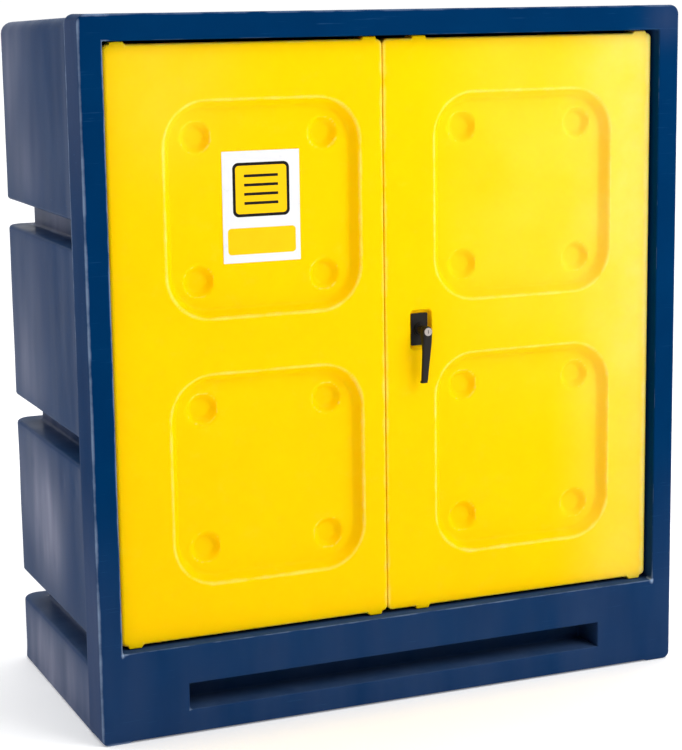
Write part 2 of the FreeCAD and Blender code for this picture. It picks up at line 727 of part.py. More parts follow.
def rack(side, low, high):
    """Toothed bar beside the pinion; a gap between teeth faces each pinion tooth at rest."""
    pitch = math.pi * MODULE
    near = PITCH_RADIUS + DEDENDUM
    tip = PITCH_RADIUS - RACK_ADDENDUM
    half_root = pitch / 4 + DEDENDUM * math.tan(PRESSURE_ANGLE) - BACKLASH / 4
    half_tip = pitch / 4 - RACK_ADDENDUM * math.tan(PRESSURE_ANGLE) - BACKLASH / 4
    y0 = LATCH_Y - GEAR_WIDTH / 2
    x0 = LOCK_X + side * near
    x1 = LOCK_X + side * RACK_BACK
    bar = box(min(x0, x1), max(x0, x1), y0, y0 + GEAR_WIDTH, low, high)
    first = math.ceil((low - LOCK_Z + half_root) / pitch - 0.5)
    last = math.floor((high - LOCK_Z - half_root) / pitch - 0.5)
    teeth = []
    for k in range(first, last + 1):
        z = LOCK_Z + (k + 0.5) * pitch
        outer = LOCK_X + side * (near + PAST)
        inner = LOCK_X + side * tip
        corners = [V(outer, y0, z - half_root), V(inner, y0, z - half_tip)]
        corners += [V(inner, y0, z + half_tip), V(outer, y0, z + half_root)]
        teeth.append(Part.Face(Part.makePolygon(corners + corners[:1])).extrude(V(0, GEAR_WIDTH, 0)))
    return bar.fuse(teeth)


def latch_rod(end):
    """Rack, cranked arm and round rod in one piece; the rod's tip stays inside the lug at rest."""
    sign = ENDS[end]
    arm = LOCK_Z + sign * (CASE_HALF_HEIGHT - THROW - ARM_CLEARANCE)
    arm_foot = arm - sign * ARM_HEIGHT
    tail = LOCK_Z - sign * (THROW + MESH_REACH)
    rod_end = lug_face(end) - sign * ROD_SETBACK
    shape = rack(sign, min(tail, arm), max(tail, arm))
    half = GEAR_WIDTH / 2
    arm_x = LOCK_X + sign * RACK_BACK
    rod_side = LOCK_X - sign * ROD_RADIUS
    cross = box(
        min(rod_side, arm_x), max(rod_side, arm_x), LATCH_Y - half, LATCH_Y + half,
        min(arm_foot, arm), max(arm_foot, arm))
    rod = upright(LOCK_X, LATCH_Y, arm, rod_end, ROD_RADIUS)
    rod = rounded(rod, ROD_TIP_EDGE, lambda b: abs(b.ZMin - rod_end) < TINY and b.ZLength < TINY)
    return shape.fuse([cross, rod])


def rod_guide(x, end):
    """Plain bush that guides a rod through a lug."""
    face = lug_face(end)
    foot = boss_foot(end)
    tube = upright(x, LATCH_Y, face, foot, GUIDE_RADIUS)
    return tube.cut(upright(x, LATCH_Y, face + ENDS[end], foot - ENDS[end], ROD_RADIUS + PIN_PLAY))


def keeper(x, end):
    """Bush in the rim that receives a rod."""
    mouth = LINTEL if ENDS[end] > 0 else SILL
    foot = mouth + ENDS[end] * KEEPER_LENGTH
    tube = upright(x, LATCH_Y, mouth, foot, KEEPER_RADIUS)
    return tube.cut(upright(x, LATCH_Y, mouth - ENDS[end], foot - ENDS[end] * KEEPER_FLOOR, KEEPER_BORE))


def latch_case():
    """Box round the pinion and racks, open at the back, with a slot for each rod."""
    outer = box(
        LOCK_X - CASE_HALF_WIDTH, LOCK_X + CASE_HALF_WIDTH, CASE_FRONT, DOOR_BACK,
        LOCK_Z - CASE_HALF_HEIGHT, LOCK_Z + CASE_HALF_HEIGHT)
    inner = box(
        LOCK_X - CASE_HALF_WIDTH + CASE_WALL, LOCK_X + CASE_HALF_WIDTH - CASE_WALL,
        CASE_FRONT + CASE_FLOOR, DOOR_BACK + PAST,
        LOCK_Z - CASE_HALF_HEIGHT + CASE_WALL, LOCK_Z + CASE_HALF_HEIGHT - CASE_WALL)
    bore = level(LOCK_X, LOCK_Z, CASE_FRONT - PAST, CASE_FRONT + CASE_WALL, SHANK_RADIUS)
    ways = []
    for end in ENDS:
        z = LOCK_Z + ENDS[end] * CASE_HALF_HEIGHT
        ways.append(upright(LOCK_X, LATCH_Y, z - 2 * CASE_WALL, z + 2 * CASE_WALL, ROD_RADIUS + ROD_WAY))
    return outer.cut([inner, bore] + ways)


def bearing_plate():
    """Plate across the case that carries the tail of the spindle."""
    start = LATCH_Y + GEAR_WIDTH / 2 + BEARING_GAP
    end = start + BEARING_THICK
    half_x = CASE_HALF_WIDTH - CASE_WALL
    low = LOCK_Z - BEARING_HALF_HEIGHT
    high = LOCK_Z + BEARING_HALF_HEIGHT
    plate = box(LOCK_X - half_x, LOCK_X + half_x, start, end, low, high)
    return plate.cut(level(LOCK_X, LOCK_Z, start - PAST, end + PAST, SPINDLE_SIDE / 2 + PIN_PLAY))


def cover_points():
    """Places of the screws of the latch cover."""
    reach_x = CASE_HALF_WIDTH + COVER_SCREW_REACH
    reach_z = CASE_HALF_HEIGHT + COVER_SCREW_REACH
    return [(LOCK_X + i * reach_x, LOCK_Z + k * reach_z) for i in (-1, 1) for k in (-1, 1)]


def cover_screws():
    """Screws that hold the latch cover to the back of the door."""
    return [back_screw(x, z, COVER_THICK) for x, z in cover_points()]


def latch_cover():
    """Plate over the latch case on the back of the door."""
    width = 2 * (CASE_HALF_WIDTH + COVER_MARGIN)
    height = 2 * (CASE_HALF_HEIGHT + COVER_MARGIN)
    back = DOOR_BACK + COVER_THICK
    plate = rounded_block(LOCK_X, LOCK_Z, DOOR_BACK, back, width, height, LEAST_RADIUS)
    return plate.cut(cover_screws())


def back_screw(x, z, sheet):
    """Dome-headed screw through a sheet into the back skin of a door."""
    face = DOOR_BACK + sheet
    head = Part.makeCone(SCREW_HEAD, SCREW_CROWN, SCREW_HEAD_HEIGHT, V(x, face, z), Y_AXIS)
    shank = level(x, z, face - SCREW_LENGTH, face + PAST, SCREW_RADIUS)
    return head.fuse(shank)


def bolt_plate_screws(end):
    """Two screws of one bolt plate."""
    reach = BOLT_PLATE_HEIGHT / 2 - BOLT_SCREW_MARGIN
    z = bolt_window_z(end)
    return [back_screw(LEFT_LUG_X, z + k * reach, BOLT_PLATE_THICK) for k in (-1, 1)]


def slide_bolt(end):
    """Round bolt inside the left door, with a threaded stem out to its knob."""
    sign = ENDS[end]
    tip = lug_face(end) - sign * ROD_SETBACK
    tail = tip - sign * BOLT_LENGTH
    bolt = upright(LEFT_LUG_X, LATCH_Y, tip, tail, ROD_RADIUS)
    bolt = rounded(bolt, BOLT_EDGE, lambda b: b.ZLength < TINY)
    return bolt.fuse(level(LEFT_LUG_X, bolt_stem_z(end), LATCH_Y, STEM_END, STEM_RADIUS))


def bolt_stem_z(end):
    """Height of a bolt's stem with the bolt drawn in."""
    return bolt_window_z(end) - ENDS[end] * BOLT_THROW / 2


def bolt_plate(end):
    """Slotted plate on the back of the left door with an ear that guides the bolt."""
    sign = ENDS[end]
    z = bolt_window_z(end)
    back = DOOR_BACK + BOLT_PLATE_THICK
    plate = rounded_block(
        LEFT_LUG_X, z, DOOR_BACK, back, BOLT_PLATE_WIDTH, BOLT_PLATE_HEIGHT, LEAST_RADIUS)
    width = 2 * (STEM_RADIUS + STEM_PLAY)
    slot = rounded_block(
        LEFT_LUG_X, z, DOOR_BACK - PAST, back + PAST, width, BOLT_THROW + width, width / 2 - TINY)
    ear_z = z - sign * (BOLT_PLATE_HEIGHT / 2 - EAR_MARGIN)
    half = BOLT_PLATE_WIDTH / 2 - EAR_INSET
    ear = box(
        LEFT_LUG_X - half, LEFT_LUG_X + half, LATCH_Y - ROD_RADIUS - EAR_FRONT, DOOR_BACK + TINY,
        ear_z - EAR_THICK / 2, ear_z + EAR_THICK / 2)
    hole = upright(LEFT_LUG_X, LATCH_Y, ear_z - EAR_THICK, ear_z + EAR_THICK, ROD_RADIUS + PIN_PLAY)
    ear = ear.cut(hole)
    return plate.fuse(ear).cut([slot] + bolt_plate_screws(end))


def bolt_knob(end):
    """Round knob on the stem of a slide bolt."""
    start = DOOR_BACK + BOLT_PLATE_THICK + KNOB_GAP
    z = bolt_stem_z(end)
    knob = level(LEFT_LUG_X, z, start, start + KNOB_LENGTH, KNOB_RADIUS)
    knob = rounded(knob, KNOB_EDGE, lambda b: b.YLength < TINY and b.YMin > start + PAST)
    return knob.cut(level(LEFT_LUG_X, z, start - PAST, STEM_END, STEM_RADIUS))


def folded_tray(ledge):
    """Sheet tray turned over: a flat top with a folded rim that stands on the ledges."""
    top = ledge + SHELF_RIM
    block = box(-SHELF_HALF, SHELF_HALF, SHELF_FRONT, SHELF_BACK, ledge, top)
    block = rounded(block, SHELF_CORNER, lambda b: b.ZLength > PAST)
    half = SHELF_HALF - SHEET
    inner = box(-half, half, SHELF_FRONT + SHEET, SHELF_BACK - SHEET, ledge - PAST, top - SHEET)
    return block.cut(rounded(inner, SHELF_CORNER - SHEET, lambda b: b.ZLength > PAST))


def slots(top, counts, shares):
    """Grid of slots through a tray; each share is the open part of one step of the grid."""
    step_x = 2 * (SHELF_HALF - PATTERN_MARGIN) / counts[0]
    step_y = (SHELF_BACK - SHELF_FRONT - 2 * PATTERN_MARGIN) / counts[1]
    half_x = step_x * shares[0] / 2
    half_y = step_y * shares[1] / 2
    cuts = []
    for i in range(counts[0]):
        for j in range(counts[1]):
            x = -SHELF_HALF + PATTERN_MARGIN + (i + 0.5) * step_x
            y = SHELF_FRONT + PATTERN_MARGIN + (j + 0.5) * step_y
            cuts.append(box(x - half_x, x + half_x, y - half_y, y + half_y, top - 2 * SHEET, top + PAST))
    return cuts


def ledge_height(channel):
    """Height of the ledge that a channel forms inside the body."""
    return CHANNELS[channel][1] + WALL


def shelf(channel):
    """Slotted steel shelf on the ledge over a channel."""
    ledge = ledge_height(channel)
    return folded_tray(ledge).cut(slots(ledge + SHELF_RIM, SHELF_COUNTS, SHELF_SHARES))


def sump_grid():
    """Open grid over the sump, on the lowest ledge."""
    ledge = ledge_height(0)
    return folded_tray(ledge).cut(slots(ledge + SHELF_RIM, GRID_COUNTS, GRID_SHARES))


def label_plate():
    """Blank label on the floor of the upper left panel."""
    floor = DOOR_FRONT + PANEL_DEPTH
    face = floor - LABEL_THICK
    return rounded_block(LABEL_X, LABEL_Z, face, floor, LABEL_WIDTH, LABEL_HEIGHT, LABEL_CORNER)


def make_nodes():
    """Every node of the cabinet, by name."""
    nodes = {"cabinet_body": cabinet_body()}
    nodes["left_door"] = left_door()
    nodes["right_door"] = right_door()
    for side, sign in SIDES.items():
        x = sign * PIVOT_X
        nodes[side + "_top_pivot_bolt"] = top_pivot_bolt(x)
        nodes[side + "_bottom_pivot_pin"] = bottom_pivot_pin(x)
        nodes[side + "_sill_insert"] = sill_insert(x)
        nodes[side + "_thrust_washer"] = thrust_washer(x)
        for end in ENDS:
            nodes[side + "_" + end + "_bush"] = door_bush(x, end)
    for end, word in (("top", "upper"), ("bottom", "lower")):
        nodes[word + "_latch_rod"] = latch_rod(end)
        nodes[word + "_rod_guide"] = rod_guide(LOCK_X, end)
        nodes[word + "_rod_keeper"] = keeper(LOCK_X, end)
        nodes[word + "_slide_bolt"] = slide_bolt(end)
        nodes[word + "_bolt_knob"] = bolt_knob(end)
        nodes[word + "_bolt_plate"] = bolt_plate(end)
        nodes[word + "_bolt_guide"] = rod_guide(LEFT_LUG_X, end)
        nodes[word + "_bolt_keeper"] = keeper(LEFT_LUG_X, end)
    nodes["lock_plate"] = lock_plate()
    nodes["lock_nut"] = lock_nut()
    nodes["lever_handle"] = lever_handle()
    nodes["key_cylinder"] = key_cylinder()
    nodes["drive_spindle"] = drive_spindle()
    nodes["drive_pinion"] = drive_pinion()
    nodes["latch_case"] = latch_case()
    nodes["bearing_plate"] = bearing_plate()
    nodes["latch_cover"] = latch_cover()
    nodes["latch_cover_screws"] = Part.makeCompound(cover_screws())
    plate_screws = [screw for end in ENDS for screw in bolt_plate_screws(end)]
    nodes["bolt_plate_screws"] = Part.makeCompound(plate_screws)
    nodes["upper_shelf"] = shelf(2)
    nodes["lower_shelf"] = shelf(1)
    nodes["sump_grid"] = sump_grid()
    nodes["label_plate"] = label_plate()
    return nodes


def main():
    """Write every node and print what it measures."""
    os.makedirs("parts", exist_ok=True)
    for name, shape in make_nodes().items():
        shape.exportStep("parts/" + name + ".step")
        b = shape.BoundBox
        size = "%.1f x %.1f x %.1f" % (b.XLength, b.YLength, b.ZLength)
        print("%-24s solids %d valid %s volume %.1f cm3 size %s" % (
            name, len(shape.Solids), shape.isValid(), shape.Volume / 1000, size))


main()
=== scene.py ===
import math
import bmesh
import bpy
import numpy as np
from mathutils import Matrix, Vector


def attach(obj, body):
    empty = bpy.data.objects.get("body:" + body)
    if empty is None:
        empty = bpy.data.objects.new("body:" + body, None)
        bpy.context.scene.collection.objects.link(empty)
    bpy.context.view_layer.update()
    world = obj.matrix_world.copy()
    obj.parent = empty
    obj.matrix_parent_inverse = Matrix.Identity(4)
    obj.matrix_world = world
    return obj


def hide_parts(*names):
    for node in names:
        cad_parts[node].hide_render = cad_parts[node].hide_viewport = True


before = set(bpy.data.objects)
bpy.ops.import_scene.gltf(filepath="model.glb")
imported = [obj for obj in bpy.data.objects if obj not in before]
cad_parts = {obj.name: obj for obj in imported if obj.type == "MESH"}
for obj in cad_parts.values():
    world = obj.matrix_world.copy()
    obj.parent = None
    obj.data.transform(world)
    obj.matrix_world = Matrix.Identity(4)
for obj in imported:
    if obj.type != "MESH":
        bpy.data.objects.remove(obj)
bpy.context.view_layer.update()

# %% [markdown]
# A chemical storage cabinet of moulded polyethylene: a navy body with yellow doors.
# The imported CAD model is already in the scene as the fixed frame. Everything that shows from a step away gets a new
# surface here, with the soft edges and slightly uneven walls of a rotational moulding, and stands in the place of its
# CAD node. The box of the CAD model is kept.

MM = 0.001


def put(name, data):
    """A new object in the scene, at the origin."""
    made = bpy.data.objects.new(name, data)
    bpy.context.scene.collection.objects.link(made)
    return made


# %% [markdown]
# The camera stands where the photographer stood: to the left of the cabinet, a little above its top, with a long lens.
# Its place and angles come from a fit to the corners and edges of the front face. Yaw turns the view to the right,
# pitch tips it down and roll tilts it. The view matrix is written out from these, so nothing else has to aim it.

# %% Camera
CAMERA_PLACE, LENS = (-1.5846, -3.7128, 1.3234), 98.1
YAW, PITCH, ROLL = (math.radians(a) for a in (23.2263, 10.3211, -0.8041))

forward = Vector((math.sin(YAW) * math.cos(PITCH), math.cos(YAW) * math.cos(PITCH), -math.sin(PITCH)))
level = Vector((math.cos(YAW), -math.sin(YAW), 0))
upward = level.cross(forward)
right = level * math.cos(ROLL) + upward * math.sin(ROLL)
top = upward * math.cos(ROLL) - level * math.sin(ROLL)
camera = put("camera", bpy.data.cameras.new("camera"))
camera.data.lens = LENS
camera.data.sensor_width = 36.0
camera.matrix_world = Matrix.Translation(CAMERA_PLACE) @ Matrix((right, top, -forward)).transposed().to_4x4()
bpy.context.scene.camera = camera
print("camera looks along", [round(v, 3) for v in forward])

# %% [markdown]
# The tools for surfaces. All sizes inside them are millimetres, as on a workshop drawing, and turn to metres when a
# mesh is made. A surface is a grid of points, worked out as one numpy array, and its faces join each point to its
# neighbours. Several grids that share an edge are welded into one closed shell.

# %% Grids and meshes
def spaced(stops, steps):
    """Numbers that run through all stops, with each run cut into equal parts no longer than its step."""
    parts = []
    for low, high, step in zip(stops, stops[1:], steps):
        count = max(1, math.ceil(abs(high - low) / step - 1e-6))
        parts.append(np.linspace(low, high, count + 1)[:-1])
    return np.concatenate(parts + [np.array([stops[-1]], float)])


def joined(*parts):
    """Points from their coordinates, where a single number holds for all of them."""
    return np.stack(np.broadcast_arrays(*parts), -1)


def soft(e, width):
    """Positive part of e, with its corner at zero rounded: (e + width) squared over 4 widths inside the blend."""
    return np.where(e < -width, 0, np.where(e > width, e, (e + width) ** 2 / (4 * width)))


def smooth(t):
    """Smooth step from 0 to 1: three t squared less two t cubed, held at its ends."""
    t = np.clip(t, 0, 1)
    return t * t * (3 - 2 * t)


def inside(x, z, half_x, half_z, radius):
    """Distance in from the edge of a rounded rectangle round the origin; below zero outside it."""
    out_x = np.abs(x) - (half_x - radius)
    out_z = np.abs(z) - (half_z - radius)
    corner = np.hypot(np.maximum(out_x, 0), np.maximum(out_z, 0))
    return radius - corner - np.minimum(np.maximum(out_x, out_z), 0)


def waves(x, y, size, seed, count=7):
    """Slow unevenness between -1 and 1: a mean of sines whose directions, lengths near size and starts are seeded."""
    random = np.random.default_rng(seed)
    total = np.zeros(np.broadcast(x, y).shape)
    for _ in range(count):
        angle, start = random.uniform(0, 2 * math.pi, 2)
        turn = 2 * math.pi / (size * random.uniform(0.7, 1.6))
        total += np.sin((x * math.cos(angle) + y * math.sin(angle)) * turn + start)
    return total / count


def grid(points, close_rows=False, close_columns=False, skip=None):
    """Points (rows, columns, 3) with a quad in each cell; skip is a mask of cells that are left open."""
    rows, columns = points.shape[:2]
    r = np.arange(rows if close_rows else rows - 1)
    c = np.arange(columns if close_columns else columns - 1)
    r, c = (a.ravel() for a in np.meshgrid(r, c, indexing="ij"))
    if skip is not None:
        kept = ~skip[r, c]
        r, c = r[kept], c[kept]
    r1 = (r + 1) % rows
    c1 = (c + 1) % columns
    quads = np.stack([r * columns + c, r * columns + c1, r1 * columns + c1, r1 * columns + c], 1)
    return points.reshape(-1, 3), quads.tolist()


def cap(points):
    """One flat face through a closed ring of points."""
    return points, [list(range(len(points)))]


WELD = 0.01


def piece(name, parts, body, replaces, sharp=35):
    """Welds grids in mm into one smooth-shaded object that faces outwards and rides on its body."""
    points, faces = [], []
    start = 0
    for part_points, part_faces in parts:
        points.append(part_points)
        faces += [[i + start for i in face] for face in part_faces]
        start += len(part_points)
    mesh = bpy.data.meshes.new(name)
    mesh.from_pydata((np.concatenate(points) * MM).tolist(), [], faces)
    shell = bmesh.new()
    shell.from_mesh(mesh)
    bmesh.ops.remove_doubles(shell, verts=shell.verts, dist=WELD * MM)
    bmesh.ops.recalc_face_normals(shell, faces=shell.faces)
    if shell.calc_volume(signed=True) < 0:
        bmesh.ops.reverse_faces(shell, faces=shell.faces)
    open_edges = sum(1 for edge in shell.edges if len(edge.link_faces) != 2)
    shell.to_mesh(mesh)
    shell.free()
    mesh.shade_smooth()
    mesh.set_sharp_from_angle(angle=math.radians(sharp))
    made = put(name, mesh)
    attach(made, body)
    if replaces:
        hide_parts(*replaces)
    print(name, "faces", len(mesh.polygons), "open edges", open_edges)
    return made


def coordinates(made):
    """The points of a finished mesh in mm, as one array."""
    found = np.empty(len(made.data.vertices) * 3)
    made.data.vertices.foreach_get("co", found)
    return found.reshape(-1, 3) / MM


def mark(made, name, values):
    """Stores one number for each point, for a material to read as an attribute."""
    attribute = made.data.attributes.new(name, "FLOAT", "POINT")
    attribute.data.foreach_set("value", values.astype(np.float32))


# %% [markdown]
# The rim is the thick hollow frame round the doorway. It is one closed ring, like a picture frame: a section is
# carried round the doorway, and each of its points slides between an outer outline and an inner one. The outer one is
# the front of the cabinet, the inner one the doorway. One grid can't have a hole, so the cells at the toe slot and at
# the four keepers are left out and pockets are let in there. Lines of points stand closer where the shape bends.

# %% Sizes of the body
HALF, HEIGHT = 600.0, 1311.0
FRONT, RIM_BACK = -300.0, -216.0
DOOR_HALF, SILL, LINTEL = 556.0, 170.0, 1264.2
SLOT_HALF, SLOT_LOW, SLOT_HIGH, SLOT_END = 430.5, 47.0, 97.0, -224.0
SLOT_LIP, SLOT_ROUND = 2.5, 5.0
KEEPERS_X, KEEPER_Y, KEEPER_RADIUS, KEEPER_DEEP = (54.0, -46.5), -253.0, 11.05, 26.0
PIVOT_X, PIVOT_Y = 524.5, -257.5
CORNER, EDGE, REAR_EDGE = 3.0, 5.0, 3.0
FOOT_CORNER, HEAD_CORNER = 14.0, 18.0
# Cosine and sine of six angles over a quarter turn.
QUARTER = [(math.cos(t), math.sin(t)) for t in np.linspace(0, math.pi / 2, 6)]


def corner(enter, centre, radius, turn, leave, counts):
    """Straight from enter to a quarter arc round centre that starts at angle turn, and straight on to leave."""
    angle = turn + np.linspace(0, math.pi / 2, counts[1] + 1)
    arc = np.array(centre) + radius * joined(np.cos(angle), np.sin(angle))
    first = np.linspace(enter, arc[0], counts[0] + 1)[:-1]
    last = np.linspace(arc[-1], leave, counts[2] + 1)[1:]
    return np.concatenate([first, arc, last])


def frame_outline(half, low, high, foot, head, reach, counts):
    """Rounded rectangle from the bottom left round to the right; reach holds where its straight sides are sampled."""
    across, up = reach
    x = across[-1]
    below, above = joined(across[1:-1], low), joined(across[::-1][1:-1], high)
    right_side = np.concatenate([
        corner((x, low), (half - foot, low + foot), foot, -math.pi / 2, (half, up[0]), counts[0]),
        joined(half, up[1:-1]),
        corner((half, up[-1]), (half - head, high - head), head, 0, (x, high), counts[1])])
    return np.concatenate([below, right_side, above, right_side[::-1] * [-1, 1]])


# %% Section of the rim
across = spaced(
    [-553, -549, -541, -510, -SLOT_HALF - CORNER, -61, -32, 39, 69, SLOT_HALF + CORNER, 510, 541, 549, 553],
    [4, 4, 5, 12, 12, 3, 12, 3, 12, 12, 5, 4, 4])
up = spaced([173, LINTEL - CORNER], [12])
BENDS_FOOT, BENDS_HEAD = (4, 6, 12), (3, 10, 3)


def outer(inset):
    """Outline of the whole front, drawn in by inset."""
    return frame_outline(
        HALF - inset, inset, HEIGHT - inset, FOOT_CORNER - inset, HEAD_CORNER - inset, (across, up),
        (BENDS_FOOT, BENDS_HEAD))


def doorway(grow):
    """Outline of the doorway, let out by grow; its small corners take all the samples of the large ones."""
    radius = CORNER + grow
    counts = ((0, sum(BENDS_FOOT), 0), (0, sum(BENDS_HEAD), 0))
    return frame_outline(DOOR_HALF + grow, SILL - grow, LINTEL + grow, radius, radius, (across, up), counts)


def at_depth(outline, y):
    """Outline in x and z, set at one depth."""
    return joined(outline[:, 0], y, outline[:, 1])


bottom_rail = SILL - CORNER - EDGE
low_z, high_z = SLOT_LOW - SLOT_LIP, SLOT_HIGH + SLOT_LIP
slot_rows = [(z - EDGE) / bottom_rail for z in (low_z, high_z)]
face_steps = spaced([0, slot_rows[0], slot_rows[1], 1], [0.08, 0.12, 0.08])[1:-1]
rows = [at_depth(outer(REAR_EDGE * (1 - s)), RIM_BACK - REAR_EDGE * (1 - c)) for c, s in QUARTER]
for y in spaced([RIM_BACK - REAR_EDGE, PIVOT_Y + 15, PIVOT_Y - 15, FRONT + EDGE], [8, 5, 8])[1:-1]:
    rows.append(at_depth(outer(0), y))
rows += [at_depth(outer(EDGE * (1 - c)), FRONT + EDGE - EDGE * s) for c, s in QUARTER]
rows += [at_depth((1 - w) * outer(EDGE) + w * doorway(CORNER), FRONT) for w in face_steps]
rows += [at_depth(doorway(CORNER * (1 - s)), FRONT + CORNER * (1 - c)) for c, s in QUARTER]
for y in spaced([FRONT + CORNER, -268, -238, RIM_BACK - CORNER], [8, 3, 8])[1:-1]:
    rows.append(at_depth(doorway(0), y))
rows += [at_depth(doorway(CORNER * (1 - c)), RIM_BACK - CORNER + CORNER * s) for c, s in QUARTER]
rim_points = np.array(rows)
print("rim grid", rim_points.shape)

# %% [markdown]
# A pocket takes a block of cells out of the grid. Its ring of points is then carried into the material in steps and
# closed with a flat floor. The toe slot keeps its rectangle, and a keeper's pocket turns the square ring into a circle.

# %% Pockets in the rim
def block_ring(points, row0, row1, col0, col1):
    """Points round a block of cells, in order."""
    low = points[row0, col0:col1]
    far = points[row0:row1, col1]
    high = points[row1, col0 + 1:col1 + 1][::-1]
    near = points[row0 + 1:row1 + 1, col0][::-1]
    return np.concatenate([low, far, high, near])


def block(points, test):
    """First and last row and column of the cells whose four corners all pass a test."""
    good = test(points)
    cells = good[:-1, :-1] & good[1:, :-1] & good[:-1, 1:] & good[1:, 1:]
    found_rows, found_columns = np.nonzero(cells)
    return found_rows.min(), found_rows.max() + 1, found_columns.min(), found_columns.max() + 1


def in_slot(p):
    """Cells of the front face that the toe slot's mouth takes."""
    return (
        (np.abs(p[..., 0]) < SLOT_HALF + CORNER + 0.1) & (p[..., 1] < FRONT + 0.01)
        & (p[..., 2] > low_z - 0.1) & (p[..., 2] < high_z + 0.1))


skip = np.zeros(rim_points.shape[:2], bool)
r0, r1, c0, c1 = block(rim_points, in_slot)
skip[r0:r1, c0:c1] = True
ring = block_ring(rim_points, r0, r1, c0, c1)
middle = np.array([0, 0, (low_z + high_z) / 2])
wide = SLOT_HALF + CORNER
tall = (high_z - low_z) / 2
loops = [ring]
slot_section = [(SLOT_LIP * s, FRONT + SLOT_LIP * (1 - c)) for c, s in QUARTER[1:]]
slot_section += [(SLOT_LIP, y) for y in spaced([FRONT + SLOT_LIP, SLOT_END - SLOT_ROUND], [12])[1:]]
slot_section += [(SLOT_LIP + SLOT_ROUND * (1 - c), SLOT_END - SLOT_ROUND + SLOT_ROUND * s) for c, s in QUARTER[1:]]
for inset, y in slot_section:
    loop = (ring - middle) * [(wide - inset) / wide, 1, (tall - inset) / tall] + middle
    loop[:, 1] = y
    loops.append(loop)
pockets = [grid(np.array(loops), close_columns=True), cap(loops[-1])]


def round_pocket(points, skip, centre, reach, radius, rise):
    """Round pocket in a level part of a grid: cells within reach go, and their ring becomes a circle, moved by rise."""
    centre = np.array(centre)
    r0, r1, c0, c1 = block(points, lambda p: (np.abs(p - centre) < reach).all(-1))
    skip[r0:r1, c0:c1] = True
    ring = block_ring(points, r0, r1, c0, c1)
    away = ring - centre
    circle = centre + away / np.linalg.norm(away, axis=1)[:, None] * radius
    floor_ring = circle + [0, 0, rise]
    return [grid(np.array([ring, circle, floor_ring]), close_columns=True), cap(floor_ring)]


for x in KEEPERS_X:
    for mouth, sign in ((LINTEL, 1), (SILL, -1)):
        pockets += round_pocket(
            rim_points, skip, (x, KEEPER_Y, mouth), (15.2, 15.2, 0.1), KEEPER_RADIUS, sign * KEEPER_DEEP)
print("cells left out of the rim:", int(skip.sum()))

# %% [markdown]
# Small things finish the rim's shape. The bottom is relieved by 2.5 mm between two feet at the corners, so that the
# cabinet stands firm, and a shallow dish round each pivot bolt lets its countersunk head lie just proud of the
# plastic. A slow unevenness of up to 0.7 mm, always inwards, keeps the moulding from looking machined.

# %% Finish the rim
def settle_rim(p):
    """Raises the underside between the feet, dishes the top at the bolts and draws the outer faces in unevenly."""
    x, y, z = p[..., 0], p[..., 1], p[..., 2]
    between_feet = smooth((549 - np.abs(x)) / 8)
    lift = 2.5 * between_feet * np.clip(1 - z / 12, 0, 1)
    away = np.minimum(np.hypot(x - PIVOT_X, y - PIVOT_Y), np.hypot(x + PIVOT_X, y - PIVOT_Y))
    dish = 0.5 * smooth((17 - away) / 4) * (z > HEIGHT - 1)
    ripple = 0.35 * (1 + waves(y * 1.6, z + x, 170, 3))
    side = smooth(np.abs(x) - HALF + 1) * smooth((z - 20) / 40)
    crown = smooth(z - HEIGHT + 1) * smooth((590 - np.abs(x)) / 30)
    moved = p.copy()
    moved[..., 0] -= np.sign(x) * ripple * side * smooth((y - FRONT) / 12)
    moved[..., 2] += lift - dish - ripple * crown * smooth((y - FRONT) / 12)
    return moved


rim_points = settle_rim(rim_points)
rim = piece(
    "cabinet_rim", [grid(rim_points, True, True, skip)] + pockets, "cabinet", ["cabinet_body"])
x, y, z = coordinates(rim).T
outer_gap = np.minimum.reduce([HALF - np.abs(x), HEIGHT - z, z])
inner_gap = np.maximum.reduce([np.abs(x) - DOOR_HALF, z - LINTEL, SILL - z])
# Wear and highlight on the rim: the knocks are real chips. The lines along the edges are partly scuffs and partly
# painted highlights, stronger on the left edges, at the sill and on the upper rear edge, where light catches the
# rounds.
at_left = smooth((-x - 540) / 10)
low_down = smooth((200 - z) / 20)
outer_edge = (0.62 + 0.25 * at_left) * np.exp(-np.abs(np.hypot(outer_gap, y - FRONT) - 2.1) / 5)
inner_edge = (0.5 + 0.35 * at_left + 0.15 * low_down) * np.exp(
    -np.abs(np.hypot(np.maximum(inner_gap, 0), y - FRONT) - 1.2) / 3.5)
rear_edge = np.exp(-np.hypot(outer_gap, y - RIM_BACK) / 7) * (0.6 + 0.6 * smooth((z - 450) / 450))
knocks = np.zeros(len(x))
for knock_x, knock_z, size in ((-556, 169, 5), (556, 169, 5), (437, 169, 4), (-430, 46, 4)):
    knocks += 1.2 * np.exp(-(np.hypot(x - knock_x, z - knock_z) / size) ** 2) * (y < -280)
mark(rim, "wear_and_highlight", np.maximum.reduce([outer_edge, inner_edge, rear_edge, knocks]))
# Haze and sheen on the rim: greyer towards the bottom, a real scuff at the top right corner, and on the side faces, at
# their top and bottom, a painted sheen: the reflection of the bright wall painted into the colour.
on_side = smooth((np.abs(x) - 596) / 3)
side_haze_and_sheen = on_side * (0.22 * smooth((z - 850) / 400) + 0.3 * smooth((520 - z) / 300))
scuffed_corner = 0.12 * np.exp(-(np.hypot(x - 575, z - 1285) / 42) ** 2)
mark(rim, "haze_and_sheen", np.maximum.reduce([0.11 * smooth((500 - z) / 450), side_haze_and_sheen, scuffed_corner]))

# %% [markdown]
# Behind the rim the body is one wall thick. A plan of its left side, back and right side is carried up a section that
# steps in at three channels, and across the base and the top it shrinks to nothing, so one grid makes the whole bucket
# with its front open. Solidify then gives the wall its 7 mm, which also makes the ledges that the shelves lie on. The
# left side has a few small dents.

